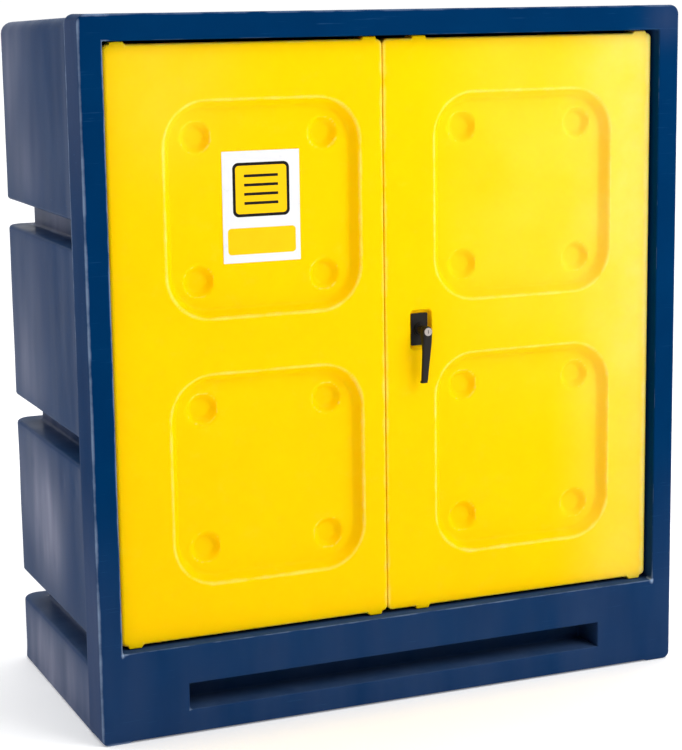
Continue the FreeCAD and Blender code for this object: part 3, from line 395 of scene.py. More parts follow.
# %% Plan and section of the shell
SHELL_FRONT = RIM_BACK - 6
BACK = 300.0
CHANNELS = ((132.0, 188.0), (503.0, 554.0), (898.0, 949.5))
CHANNEL_DEEP = 48.0
BLOCK_EDGE, INNER_EDGE, TOP_EDGE = 7.0, 6.0, 24.0
CLOSE = 520.0
TOP = HEIGHT - 5


def half_width(y):
    """Half width of the body: 597 mm at the rim, drawn in to 590 mm at the back."""
    return 597 - 7 * (y - RIM_BACK) / (BACK - RIM_BACK)


def plan(inset):
    """Left side, rear corner, back, rear corner and right side, drawn in by inset."""
    radius = min(max(35 - inset, 6), BACK - SHELL_FRONT - inset)
    turn = np.linspace(0, math.pi / 2, 9)[1:]
    side_y = SHELL_FRONT + (BACK - inset - radius - SHELL_FRONT) * np.linspace(0, 1, 44)
    side_x = half_width(side_y) - inset
    across_back = side_x[-1] - radius
    corner_x = across_back + radius * np.cos(turn)
    corner_y = side_y[-1] + radius * np.sin(turn)
    right_half = np.concatenate([joined(side_x, side_y), joined(corner_x, corner_y)])
    back = joined(np.linspace(across_back, -across_back, 70)[1:-1], BACK - inset)
    return np.concatenate([right_half, back, right_half[::-1] * [-1, 1]])


section = [(d, 0.0) for d in spaced([CLOSE, BLOCK_EDGE], [40])[:-1]]
for low, high in zip([0.0] + [c[1] for c in CHANNELS], [c[0] for c in CHANNELS] + [TOP]):
    upper = TOP_EDGE if high > CHANNELS[-1][1] else BLOCK_EDGE
    if low > 0:
        section += [(d, low) for d in spaced([CHANNEL_DEEP - INNER_EDGE, BLOCK_EDGE], [9])[:-1]]
    section += [(BLOCK_EDGE * (1 - s), low + BLOCK_EDGE * (1 - c)) for c, s in QUARTER]
    section += [(0.0, z) for z in spaced([low + BLOCK_EDGE, high - upper], [13])[1:-1]]
    section += [(upper * (1 - c), high - upper + upper * s) for c, s in QUARTER]
    if high < TOP:
        channel_top = dict(CHANNELS)[high]
        base = CHANNEL_DEEP - INNER_EDGE
        section += [(d, high) for d in spaced([BLOCK_EDGE, base], [9])[1:-1]]
        section += [(base + INNER_EDGE * s, high + INNER_EDGE * (1 - c)) for c, s in QUARTER]
        section += [(CHANNEL_DEEP, z) for z in spaced([high + INNER_EDGE, channel_top - INNER_EDGE], [12])[1:-1]]
        section += [(base + INNER_EDGE * c, channel_top - INNER_EDGE * (1 - s)) for c, s in QUARTER[:-1]]
section += [(d, TOP) for d in spaced([TOP_EDGE, CLOSE], [40])[1:]]

shell_points = np.array([joined(*plan(inset).T, z) for inset, z in section])
print("shell grid", shell_points.shape)

# %% Unevenness, dents and the sloping top
DENTS = ((-72.7, 446.3), (54.5, 400.3), (-160.9, 448.7), (145.8, 440.9), (124.8, 323.5), (5.7, 276.4))
# Patches of haze and painted sheen on the sides: centre in y and z, reach in y and z, strength.
HAZE_AND_SHEEN_PATCHES = (
    (200, 1200, 110, 160, 0.72), (110, 1010, 120, 100, 0.50), (160, 640, 130, 190, 0.82), (60, 335, 110, 105, 1.9),
    (60, 60, 260, 90, 1.4), (230, 420, 60, 120, 0.50))
x, y, z = (shell_points[..., i].copy() for i in range(3))
slope = 11 * (y - RIM_BACK) / (BACK - RIM_BACK)
weight = np.clip((z - 956) / (TOP - 956), 0, 1)
shell_points[..., 2] -= np.maximum(slope, 0) * weight
on_wall = smooth((np.abs(x) - 530) / 40) * smooth((y - RIM_BACK) / 40) * smooth(z / 30)
draw = 1.0 * (1 + waves(y, z, 210, 11)) + 0.35 * (1 + waves(y, z * 0.5, 70, 12))
for dent_y, dent_z in DENTS:
    draw += (x < 0) * 1.6 * np.exp(-((y - dent_y) ** 2 + (z - dent_z) ** 2) / 90)
shell_points[..., 0] -= np.sign(x) * on_wall * draw
on_back = smooth((y - 240) / 40) * smooth((570 - np.abs(x)) / 40) * smooth(z / 30)
shell_points[..., 1] -= on_back * 1.2 * (1 + waves(x, z, 230, 13))
# Its front stays open: the rim covers it.
shell = piece("cabinet_shell", [grid(shell_points)], "cabinet", ["cabinet_body"])
x, y, z = coordinates(shell).T
lip = np.min([np.abs(z - edge) for channel in CHANNELS for edge in channel], 0)
outward = half_width(y) - np.abs(x)
bead = np.exp(-np.hypot(z - CHANNELS[2][0] - 3, outward - CHANNEL_DEEP + 4) / 5)
knocked = 0.55 * np.exp(-np.hypot(lip, np.maximum(outward, 0)) / 7)
mark(shell, "wear_and_highlight", np.maximum(knocked, bead) * (y > RIM_BACK))
# Haze and painted sheen, patchy, and held back near the channel lips.
patchy = 0.8 + 0.35 * waves(y, z, 190, 31) + 0.3 * waves(y, z * 0.25, 60, 32)
haze_and_sheen = np.full(len(x), 0.03)
for sheen_y, sheen_z, wide_y, wide_z, amount in HAZE_AND_SHEEN_PATCHES:
    haze_and_sheen += amount * np.exp(-((y - sheen_y) / wide_y) ** 2 - ((z - sheen_z) / wide_z) ** 2)
under_lip = np.exp(-np.maximum(lip - 4, 0) / 14) * smooth((CHANNEL_DEEP - outward) / 20)
# The back wall of the upper channel is lightened: a painted reflection.
painted_channel_reflection = 0.75 * smooth((outward - 40) / 6) * smooth((z - 890) / 10) * smooth((960 - z) / 10)
mark(shell, "haze_and_sheen", np.maximum(np.clip(haze_and_sheen * patchy * (1 - 0.6 * under_lip), 0, 1.2), painted_channel_reflection))
wall = shell.modifiers.new("wall", "SOLIDIFY")
wall.thickness = 7 * MM
wall.offset = -1
wall.use_even_offset = True

# %% [markdown]
# Each door is a hollow moulding, 45 mm thick. Its front is a height field: a grid of x and z whose depth is worked out
# from the distance to the edge of each recess, so a wall of the recess is one slope with soft corners at its top and
# bottom. Rings of points then carry the outline round the edges to the flat back. Edges differ by side: soft at the
# hinge, crisp at the seam. The lugs at top and bottom are where the outline stands out further.

# %% Sizes of the doors
DOOR_FRONT, DOOR_BACK = -280.0, -235.0
DOOR_LOW, DOOR_HIGH = 176.5, 1258.5
DOOR_MIDDLE, DOOR_TALL = (DOOR_LOW + DOOR_HIGH) / 2, (DOOR_HIGH - DOOR_LOW) / 2
SPAN, SEAM_LEFT, SEAM_RIGHT = 552.0, -21.2, -19.8
PANEL_LEVELS, PANEL = (469.5, 962.0), (189, 195.5, 82)
CONE_X, CONE_Z = 122.5, 129.5
LOCK_X, LOCK_Z = 54.0, 716.0
HINGE_EDGE, SEAM_EDGE, END_EDGE, LUG_EDGE = 8.0, 3.0, 5.0, 2.0
HINGE_MARGIN, SEAM_MARGIN, END_MARGIN = 18.0, 14.0, 20.0
LUG_TOP, LUG_BOTTOM = 1262.8, 171.4
GUIDE_RADIUS, GUIDE_DEEP = 7.02, 30.0
STRAIGHT, BEND = 4, 8


def from_cone(x, z, panel_x, level_z):
    """Distance to the nearest of the four cones of a panel."""
    return np.hypot(np.abs(x - panel_x) - CONE_X, np.abs(z - level_z) - CONE_Z)


def recessed(x, z, panel_x):
    """Depth of a panel: a wall 20 mm deep and 15 mm wide round it, and four cones in its floor near its corners."""
    depth = np.zeros(np.broadcast(x, z).shape)
    for level_z in PANEL_LEVELS:
        e = inside(x - panel_x, z - level_z, *PANEL)
        depth += 20 / 13 * (soft(e - 1, 2.0) - soft(e - 14, 3.0))
        r = from_cone(x, z, panel_x, level_z)
        depth += 12 / 8.5 * (soft(28.5 - r, 1.5) - soft(20 - r, 3.0))
    return depth


def lock_recess(x, z):
    """Depth of the lock's recess: a rounded rectangle with steep walls, 10 mm deep."""
    e = inside(x - LOCK_X, z - LOCK_Z, 22.5, 38, 9)
    return 10 / 2.5 * (soft(e, 0.9) - soft(e - 2.5, 0.9))


# %% Edge of a door
def door_ring(x_lines, z_lines, sides, lugs, turn, flank=None, back=False):
    """One ring round a door. Its edges are quarter rounds: turn runs from 0 on the face to a right angle on the side.

    sides holds x and the edge radius at the left and at the right. At the corners the radius blends from one to the
    other. flank sets the depth of a ring on the side wall, and back turns the quarter round to the door's back.
    """
    shut = 1 - math.sin(turn)
    phi = np.linspace(0, math.pi / 2, BEND + 1)
    corners = []
    for right_side, upper in ((True, False), (True, True), (False, True), (False, False)):
        x, radius = sides[right_side]
        out_x, out_z = (1 if right_side else -1), (1 if upper else -1)
        z = DOOR_HIGH if upper else DOOR_LOW
        grid_x, grid_z = x_lines[-1 if right_side else 0], z_lines[-1 if upper else 0]
        blend = radius + (END_EDGE - radius) * smooth(phi / (math.pi / 2))
        rho = np.maximum(11 - blend * shut, 0)
        arc_x = x - out_x * (radius * shut + rho * (1 - np.cos(phi)))
        arc_z = z - out_z * (END_EDGE * shut + rho * (1 - np.sin(phi)))
        arc = joined(arc_x, arc_z, blend)
        side = np.linspace([x - out_x * radius * shut, grid_z, radius], [arc_x[0], arc_z[0], radius], STRAIGHT + 1)
        end = np.linspace(
            [arc_x[-1], arc_z[-1], END_EDGE], [grid_x, z - out_z * END_EDGE * shut, END_EDGE], STRAIGHT + 1)
        points = np.concatenate([side[:-1], arc, end[1:]])
        corners.append(points if right_side == upper else points[::-1])
    runs = []
    for (x, radius), out_x, lines in ((sides[0], -1, z_lines[::-1]), (sides[1], 1, z_lines)):
        runs.append(joined(x - out_x * radius * shut, lines[1:-1], radius))
    for z, out_z, lines in ((DOOR_LOW, -1, x_lines), (DOOR_HIGH, 1, x_lines[::-1])):
        runs.append(joined(lines[1:-1], z - out_z * END_EDGE * shut, END_EDGE))
    left_run, right_run, low_run, high_run = runs
    ring = np.concatenate([low_run, corners[0], right_run, corners[1], high_run, corners[2], left_run, corners[3]])
    x, z, radius = ring.T
    rise = np.zeros(len(x))
    for lug in lugs:
        rise = np.maximum(rise, smooth((15 - np.abs(x - lug)) / 3))
    rise = rise * smooth((np.abs(z - DOOR_MIDDLE) - DOOR_TALL + 20) / 8)
    if flank is not None:
        y = np.clip(np.full(len(x), flank), DOOR_FRONT + radius, DOOR_BACK - radius)
        rise = rise * (flank < -243.5)
    elif back:
        y = DOOR_BACK - radius * (1 - math.cos(turn))
        rise = rise * 0
    else:
        crisp = radius + (LUG_EDGE - radius) * rise
        y = DOOR_FRONT + crisp * (1 - math.cos(turn))
        z = z + np.sign(z - DOOR_MIDDLE) * (radius - crisp) * shut
    z = z + rise * np.where(z > DOOR_MIDDLE, LUG_TOP - DOOR_HIGH, LUG_BOTTOM - DOOR_LOW)
    return joined(x, y, z)


# %% Build a door
def door(body, hinge_left, panel_x, guide_x, x_stops, x_steps, z_stops, z_steps, windows=()):
    """Front height field, edge rings and a flat back, which is cut in two along the guide if it has windows."""
    x0, x1 = (-SPAN, SEAM_LEFT) if hinge_left else (SEAM_RIGHT, SPAN)
    order = 1 if hinge_left else -1
    edges, margins = (HINGE_EDGE, SEAM_EDGE)[::order], (HINGE_MARGIN, SEAM_MARGIN)[::order]
    sides = ((x0, edges[0]), (x1, edges[1]))
    x_lines = spaced([x0 + margins[0]] + x_stops + [x1 - margins[1]], x_steps)
    z_lines = spaced([DOOR_LOW + END_MARGIN] + z_stops + [DOOR_HIGH - END_MARGIN], z_steps)
    gx, gz = np.meshgrid(x_lines, z_lines)
    depth = recessed(gx, gz, panel_x)
    if not hinge_left:
        depth = depth + lock_recess(gx, gz)
    border = np.minimum(np.minimum(gx - x_lines[0], x_lines[-1] - gx), np.minimum(gz - z_lines[0], z_lines[-1] - gz))
    depth = depth + 0.3 * (1 + waves(gx, gz, 190, 21 + hinge_left)) * smooth(border / 40)
    front = joined(gx, DOOR_FRONT + depth, gz)
    many = 2 * STRAIGHT + BEND + 1
    border_runs = [np.rot90(front, quarter)[0] for quarter in range(4)]
    ring = np.concatenate([part for run in border_runs for part in (run[1:-1], np.repeat(run[-1:], many, 0))])
    lugs = (-PIVOT_X if hinge_left else PIVOT_X, guide_x)
    shape = (x_lines, z_lines, sides, lugs)
    turns = np.linspace(0, math.pi / 2, 7)
    loops = [ring] + [door_ring(*shape, turn) for turn in turns]
    loops += [door_ring(*shape, math.pi / 2, flank=y) for y in spaced([-262, -244.4, -243], [3, 3])]
    loops += [door_ring(*shape, turn, back=True) for turn in turns[::-1]]
    loops = np.array(loops)
    parts = [grid(front)]
    # The rod or bolt leaves through a bore in each lug, which holds its guide.
    skip = np.zeros(loops.shape[:2], bool)
    for mouth, rise in ((LUG_TOP, -GUIDE_DEEP), (LUG_BOTTOM, GUIDE_DEEP)):
        parts += round_pocket(loops, skip, (guide_x, KEEPER_Y, mouth), (10.6, 9.4, 0.1), GUIDE_RADIUS, rise)
    parts.append(grid(loops, close_columns=True, skip=skip))
    rear = loops[-1]
    if windows:
        off_guide, above = np.abs(rear[:, 0] - guide_x), rear[:, 2] > DOOR_MIDDLE
        low, high = np.argmin(off_guide + 99 * above), np.argmin(off_guide + 99 * ~above)
        halves = ((1, rear[low:high + 1]), (-1, np.concatenate([rear[high:], rear[:low + 1]])))
        for side, half_ring in halves:
            notches = []
            for level_z, half_x, half_z in sorted(windows, reverse=side > 0):
                notch = [(0, side), (side, side), (side, -side), (0, -side)]
                notches += [(guide_x + i * half_x, DOOR_BACK, level_z + k * half_z) for i, k in notch]
            parts.append(cap(np.concatenate([half_ring, np.array(notches)])))
        for level_z, half_x, half_z in windows:
            corners = [(0, 1), (1, 1), (1, -1), (0, -1), (-1, -1), (-1, 1)]
            mouth = np.array([(guide_x + i * half_x, DOOR_BACK, level_z + k * half_z) for i, k in corners])
            floor = mouth - [0, 27, 0]
            parts += [grid(np.array([mouth, floor]), close_columns=True), cap(floor)]
    else:
        parts.append(cap(rear))
    made = piece(body + "_moulding", parts, body, [body])
    x, y, z = coordinates(made).T
    gap = inside(x - (x0 + x1) / 2, z - DOOR_MIDDLE, (x1 - x0) / 2, DOOR_TALL, 11)
    lip = 0.7 * np.exp(-np.abs(gap - 2) / 4)
    for level_z in PANEL_LEVELS:
        edge_gap = np.abs(inside(x - panel_x, z - level_z, *PANEL))
        lip = np.maximum(lip, 0.75 * np.exp(-np.maximum(edge_gap - 1, 0) / 4))
        lip = np.maximum(lip, 0.7 * np.exp(-np.abs(from_cone(x, z, panel_x, level_z) - 29) / 2.5))
    # A painted highlight runs along the right door's hinge edge. The haze and sheen mark paints a pale sheen onto the
    # right door towards its right and upper right, and a faint pale patch at the left door's upper left.
    if not hinge_left:
        lip = np.maximum(lip, 1.2 * np.exp(-np.abs(x - x1 + 8) / 6))
    mark(made, "wear_and_highlight", lip * (y < -250))
    to_right = smooth((x - 330) / 220) * (0.55 + 0.45 * smooth((z - 300) / 600))
    upper_right = smooth((x - 40) / 300) * smooth((z - 450) / 500)
    upper_left = np.exp(-((x + 440) / 110) ** 2 - ((z - 1170) / 120) ** 2)
    mark(made, "haze_and_sheen", 0.22 * to_right + 0.06 * upper_right + 0.05 * upper_left)
    return made


panel_z = [level_z + side for level_z in PANEL_LEVELS for side in (-196, -180, 180, 196)]
left_door = door(
    "left_door", True, -256.0, -46.5,
    [-505, -446, -427, -85, -66, -57, -46.5], [3, 5, 3, 4.5, 3, 3, 3.5, 3.5],
    panel_z, [5, 3, 4.5, 3, 5, 3, 4.5, 3, 5],
    [(1180.5, 12.0, 36.0), (254.5, 12.0, 36.0)])
right_door = door(
    "right_door", False, 273.0, LOCK_X,
    [30, 42, LOCK_X, 66, 78, 83, 102, 443, 462, 505], [5, 1.3, 3, 3, 1.3, 3, 3, 4.5, 3, 5, 3],
    panel_z[:4] + [676, 690, 742, 756] + panel_z[4:], [5, 3, 4.5, 3, 3, 1.3, 4, 1.3, 3, 3, 4.5, 3, 5])

# %% [markdown]
# The lever is a small die casting, black powder coated. Its blade is a loft: rounded sections are set one below the
# other, wide and deep at the head, narrow and thin at the tip. They come nearer to the door as they go down, and the
# last ones form a small hook. Its neck is turned, so it is a profile spun round the lock's axis, with thin rings.

# %% Lever
def superellipse(count, power):
    """Ring of directions whose corners square up as the power grows."""
    t = np.linspace(0, 2 * math.pi, count, endpoint=False)
    c, s = np.cos(t), np.sin(t)
    return np.sign(c) * np.abs(c) ** (2 / power), np.sign(s) * np.abs(s) ** (2 / power)


def lathe(profile, x, z, count=48):
    """Spins (radius, depth) pairs round an axis along y; a radius of zero closes a pole."""
    t = np.linspace(0, 2 * math.pi, count, endpoint=False)
    profile = np.array(profile, float)
    radius, depth = profile[:, :1], profile[:, 1:]
    return joined(x + radius * np.cos(t), depth, z + radius * np.sin(t))


FACE = FRONT - 11
HEAD, LEAN, ROUND = 9.9, 0.03, 40
stations = []
for t in np.linspace(0, math.pi / 2, 7)[1:]:
    stations.append((LOCK_Z + HEAD * math.cos(t), HEAD * math.sin(t), FACE, FACE + 17))
# Distance below the axis, half width, and how far the front and the back lie behind the lever's face.
for drop, half, near, far in (
        (8, 9.65, 0, 17), (14, 9.3, 0.1, 16.2), (22, 8.95, 0.5, 13.0), (30, 8.6, 1.2, 10.6),
        (40, 8.2, 2.2, 10.0), (60, 7.4, 4.4, 11.4), (80, 6.7, 6.6, 13.4), (92, 6.4, 7.6, 14.4),
        (94.2, 6.3, 7.7, 15.4), (95.4, 6.2, 7.9, 18.6), (98, 6.1, 8.4, 19.6), (99, 6.0, 9.6, 19.0)):
    stations.append((LOCK_Z - drop, half, FACE + near, FACE + far))
ring_x, ring_y = superellipse(ROUND, 4.5)
blade = []
for z, half, near, far in stations:
    middle_x = LOCK_X - LEAN * max(LOCK_Z - z, 0)
    blade.append(joined(middle_x + half * ring_x, (near + far) / 2 + (far - near) / 2 * ring_y, z))
blade = np.array(blade)
pole = np.repeat(np.array([[[LOCK_X, FACE + 8.5, LOCK_Z + HEAD]]]), ROUND, 1)
blade_parts = [grid(np.concatenate([pole, blade]), close_columns=True), cap(blade[-1])]
lever = piece("lever_blade", blade_parts, "lever", ["lever_handle"], sharp=50)
neck_profile = [(0, FACE + 15), (8.4, FACE + 15), (8.9, FACE + 16), (8.9, -279.6), (8.3, -279.2), (8.3, -278.8),
                (8.9, -278.4), (8.9, -277.3), (8.4, -276.85), (0, -276.85)]
neck = piece("lever_neck", [grid(lathe(neck_profile, LOCK_X, LOCK_Z), close_columns=True)],
             "lever", ["lever_handle"], sharp=50)

# %% [markdown]
# The label on the upper left panel is a white vinyl card. Its printing is generic and carries no words: a yellow
# panel in a dark outline with plain ruled lines, and a blank yellow panel under it. Each print is a film a tenth of a
# millimetre thick with rounded corners, so it has an edge of its own from close by.

# %% Label
LABEL_X, LABEL_Z, CARD_FACE = -255.0, 963.0, -260.4


def film(name, x, z, half_x, half_z, radius, back, thick):
    """Thin plate with rounded corners, as seen from the front."""
    turn = np.linspace(0, math.pi / 2, 9)
    ring = []
    for k, (i, j) in enumerate(((1, 1), (-1, 1), (-1, -1), (1, -1))):
        angle = turn + k * math.pi / 2
        ring.append(joined(
            x + i * (half_x - radius) + radius * np.cos(angle), 0,
            z + j * (half_z - radius) + radius * np.sin(angle)))
    ring = np.concatenate(ring)
    far, near = ring + [0, back, 0], ring + [0, back - thick, 0]
    parts = [grid(np.array([far, near]), close_columns=True), cap(far), cap(near)]
    return piece(name, parts, "left_door", [])


label_outline = film("label_outline", LABEL_X, LABEL_Z + 31, 55, 49, 11, CARD_FACE, 0.10)
label_panel = film("label_panel", LABEL_X, LABEL_Z + 31, 49.5, 43.5, 6.5, CARD_FACE - 0.10, 0.08)
label_blank = film("label_blank", LABEL_X, LABEL_Z - 62, 66, 24, 7, CARD_FACE, 0.10)
rules = [
    film(f"label_rule_{i + 1}", LABEL_X, LABEL_Z + 56 - 16.5 * i, 33, 2.6, 1.2, CARD_FACE - 0.18, 0.05)
    for i in range(4)]

# %% [markdown]
# Materials start from what each piece is made of. One function turns a hex colour into the linear numbers that shaders
# use, and one adds a node. Patterns read Object coordinates, which are metres, so a size in millimetres becomes a
# scale by dividing 1000 by it.

# %% Material tools
def linear(hex_colour):
    """Turns an sRGB hex colour into linear red, green, blue and an alpha of one."""
    values = [int(hex_colour[i:i + 2], 16) / 255 for i in (1, 3, 5)]
    return tuple(v / 12.92 if v <= 0.04045 else ((v + 0.055) / 1.055) ** 2.4 for v in values) + (1.0,)


def fill(node, inputs):
    """Gives each input a plain value, one output of another node, or that node, which means its first live output.

    Inputs that run from the first on can come as a list.
    """
    for key, value in inputs.items() if isinstance(inputs, dict) else enumerate(inputs):
        if isinstance(value, bpy.types.Node):
            value = next(out for out in value.outputs if out.enabled)
        if isinstance(value, bpy.types.NodeSocket):
            node.id_data.links.new(value, node.inputs[key])
        else:
            node.inputs[key].default_value = value


def add(tree, kind, inputs=(), **settings):
    """Adds a shader node of this kind with its settings, values and links."""
    node = tree.nodes.new("ShaderNode" + kind)
    for key, value in settings.items():
        setattr(node, key, value)
    fill(node, inputs)
    return node


def material(name):
    """An empty node material with its shader and output joined; returns it, its tree and its shader."""
    made = bpy.data.materials.new(name)
    made.use_nodes = True
    tree = made.node_tree
    tree.nodes.clear()
    shader = add(tree, "BsdfPrincipled")
    add(tree, "OutputMaterial", {"Surface": shader})
    return made, tree, shader


def per_mm(size):
    """Texture scale, on coordinates in metres, for a pattern of this size in mm."""
    return 1000 / size


def clothe(made, *names):
    """Gives a material to new pieces or CAD nodes."""
    for name in names:
        target = name if isinstance(name, bpy.types.Object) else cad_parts[name]
        target.data.materials.clear()
        target.data.materials.append(made)


# %% [markdown]
# The navy plastic is polyethylene, rotationally moulded from powder with the pigment mixed in. It is a soft, waxy
# plastic, so it is satin, faintly mottled, and takes light scuffs on every edge that gets knocked; painted highlights
# join the scuffs on some edges. Its reflection is weak face on and strong along the sides, which is why the side looks
# grey where it mirrors a bright wall, and a sheen painted into the colour adds to that grey. Fine upright streaks and
# long scratches come from handling, and dust lies on what faces up.

# %% Navy polyethylene
def navy_polyethylene(name, level):
    """Navy plastic: scuffs and painted highlights on edges by one attribute, grey haze and painted sheen by another,
    scratches and dust.
    """
    made, tree, shader = material(name)
    place = add(tree, "TexCoord").outputs["Object"]
    mottle = add(tree, "TexNoise", {"Vector": place, "Scale": per_mm(140), "Detail": 4.0, "Roughness": 0.6})
    base = add(tree, "Mix", {0: mottle, 6: linear("#002750"), 7: linear("#00325e")}, data_type="RGBA")
    # The haze and sheen attribute greys the plastic: a haze of fine scuffs and dust, and a painted sheen standing in
    # for the side's reflection of the bright wall. It grows to the back of the sides, where hands and trolleys rub.
    haze_and_sheen = add(tree, "Attribute", attribute_name="haze_and_sheen")
    upright = add(tree, "Mapping", {"Vector": place, "Scale": (14.0, 14.0, 2.6)})
    haze = add(tree, "TexNoise", {"Vector": upright, "Scale": 1.0, "Detail": 3.0, "Roughness": 0.5})
    hazy = add(tree, "MapRange", [haze, 0.3, 0.75, 0.35, 1.0])
    patchy_haze_and_sheen = add(tree, "Math", [haze_and_sheen.outputs["Fac"], hazy], operation="MULTIPLY")
    share = add(tree, "Math", [patchy_haze_and_sheen, 0.85], operation="MULTIPLY")
    greyed = add(tree, "Mix", {0: share, 6: base, 7: linear("#82859a")}, data_type="RGBA")
    # Paler edges by the wear and highlight attribute: scuffs, and painted highlights along the rim's edges.
    wear_and_highlight = add(tree, "Attribute", attribute_name="wear_and_highlight")
    chips = add(tree, "TexNoise", {"Vector": place, "Scale": per_mm(55), "Detail": 4.0, "Roughness": 0.6})
    steady = add(tree, "MapRange", [chips, 0.3, 0.6, 0.6, 1.0])
    worn_and_highlit = add(tree, "Math", [wear_and_highlight.outputs["Fac"], steady], operation="MULTIPLY")
    worn_and_highlit_edge = add(tree, "MapRange", [worn_and_highlit, 0.42, 1.0, 0.0, 0.8])
    scuffed_and_highlit = add(tree, "Mix", {0: worn_and_highlit_edge, 6: greyed, 7: linear("#93a8c6")}, data_type="RGBA")
    long_way = add(tree, "Mapping", {"Vector": place, "Rotation": (0.1, 0.3, 0.2), "Scale": (9.0, 60.0, 260.0)})
    lines = add(tree, "TexNoise", {"Vector": long_way, "Scale": 1.4, "Detail": 3.0, "Roughness": 0.5})
    scratch = add(tree, "MapRange", [lines, 0.67, 0.73, 0.0, 0.14])
    scratched = add(tree, "Mix", {0: scratch, 6: scuffed_and_highlit, 7: linear("#3f6f9c")}, data_type="RGBA")
    facing = add(tree, "SeparateXYZ", [add(tree, "NewGeometry").outputs["Normal"]])
    powder = add(tree, "TexNoise", {"Vector": place, "Scale": per_mm(45), "Detail": 5.0, "Roughness": 0.65})
    upward_face = add(tree, "MapRange", [facing.outputs[2], 0.5, 1.0, 0.0, 0.22])
    dust = add(tree, "Math", [upward_face, powder], operation="MULTIPLY")
    dusty = add(tree, "Mix", {0: dust, 6: scratched, 7: linear("#6f87a3")}, data_type="RGBA")
    satin = add(tree, "MapRange", [haze, 0.3, 0.7, 0.30, 0.44])
    # Powder that melts on the mould leaves a faint orange peel, here 3.5 mm wide, and slower pulls 40 mm wide.
    peel = add(tree, "TexNoise", {"Vector": place, "Scale": per_mm(3.5), "Detail": 2.0})
    pulls = add(tree, "TexNoise", {"Vector": place, "Scale": per_mm(40), "Detail": 2.0})
    relief = add(tree, "Math", [pulls, 6.0, peel], operation="MULTIPLY_ADD")
    bump = add(tree, "Bump", {"Height": relief, "Strength": 0.35, "Distance": 0.0001})
    fill(shader, {"Base Color": dusty, "Roughness": satin, "Normal": bump, "Specular IOR Level": level})
    return made


clothe(navy_polyethylene("navy_rotomoulded_polyethylene_rim", 0.004), rim)
clothe(navy_polyethylene("navy_rotomoulded_polyethylene_shell", 0.014), shell)

# %% [markdown]
# The doors are the same plastic in safety yellow. Yellow pigment lets light travel a little way in, so corners and
# shaded walls turn orange rather than grey. Where edges and the lips of the panels rub, the plastic burnishes to a
# paler line; on the right door's hinge edge the pale band is a painted highlight, and a painted sheen lightens the
# right door towards its right. Faint cloudy scuffs cover the flat parts.

# %% Yellow polyethylene
yellow, tree, shader = material("yellow_rotomoulded_polyethylene")
place = add(tree, "TexCoord").outputs["Object"]
cloud = add(tree, "TexNoise", {"Vector": place, "Scale": per_mm(170), "Detail": 5.0, "Roughness": 0.6})
base = add(tree, "Mix", {0: cloud, 6: linear("#ffc700"), 7: linear("#ffd200")}, data_type="RGBA")
smear = add(tree, "TexNoise", {"Vector": place, "Scale": per_mm(28), "Detail": 7.0, "Roughness": 0.75})
smudges = add(tree, "MapRange", [smear, 0.55, 0.75, 0.0, 0.14])
smudged = add(tree, "Mix", {0: smudges, 6: base, 7: linear("#ffdc48")}, data_type="RGBA")
# Painted sheen: the haze and sheen attribute lightens the right door towards pale yellow.
painted_sheen = add(tree, "Attribute", attribute_name="haze_and_sheen")
drift = add(tree, "MapRange", [cloud, 0.35, 0.65, 0.6, 1.3])
painted_sheen_amount = add(tree, "Math", [painted_sheen.outputs["Fac"], drift], operation="MULTIPLY")
with_painted_sheen = add(tree, "Mix", {0: painted_sheen_amount, 6: smudged, 7: linear("#fff0a8")}, data_type="RGBA")
# Paler rubbed edges and panel lips; on the right door's hinge edge the pale band is a painted highlight.
wear_and_highlight = add(tree, "Attribute", attribute_name="wear_and_highlight")
rubs = add(tree, "TexNoise", {"Vector": place, "Scale": per_mm(35), "Detail": 5.0, "Roughness": 0.6})
rubbed_and_highlit = add(tree, "Math", [wear_and_highlight.outputs["Fac"], rubs], operation="MULTIPLY")
rubbed_and_highlit_edge = add(tree, "MapRange", [rubbed_and_highlit, 0.2, 0.55, 0.0, 0.5])
burnished_and_highlit = add(tree, "Mix", {0: rubbed_and_highlit_edge, 6: with_painted_sheen, 7: linear("#ffec90")}, data_type="RGBA")
satin = add(tree, "MapRange", [cloud, 0.3, 0.7, 0.42, 0.55])
peel = add(tree, "TexNoise", {"Vector": place, "Scale": per_mm(3.5), "Detail": 2.0})
pulls = add(tree, "TexNoise", {"Vector": place, "Scale": per_mm(50), "Detail": 2.0})
relief = add(tree, "Math", [pulls, 6.0, peel], operation="MULTIPLY_ADD")
bump = add(tree, "Bump", {"Height": relief, "Strength": 0.3, "Distance": 0.0001})
fill(shader, {
    "Base Color": burnished_and_highlit, "Roughness": satin, "Normal": bump, "Specular IOR Level": 0.02,
    "Subsurface Weight": 0.4, "Subsurface Radius": (1.0, 0.45, 0.04), "Subsurface Scale": 0.02})
clothe(yellow, left_door, right_door)

# %% [markdown]
# The small pieces. Powder coat is paint that is baked on as a powder and has a fine grain. Zinc plate on steel is
# bright and slightly blue, with a faint brushed grain. Stainless pins are turned. Acetal is a hard white plastic,
# and nylon knobs are nearly black with a little gloss. Each is one short recipe: two colours, a grain and a gloss.

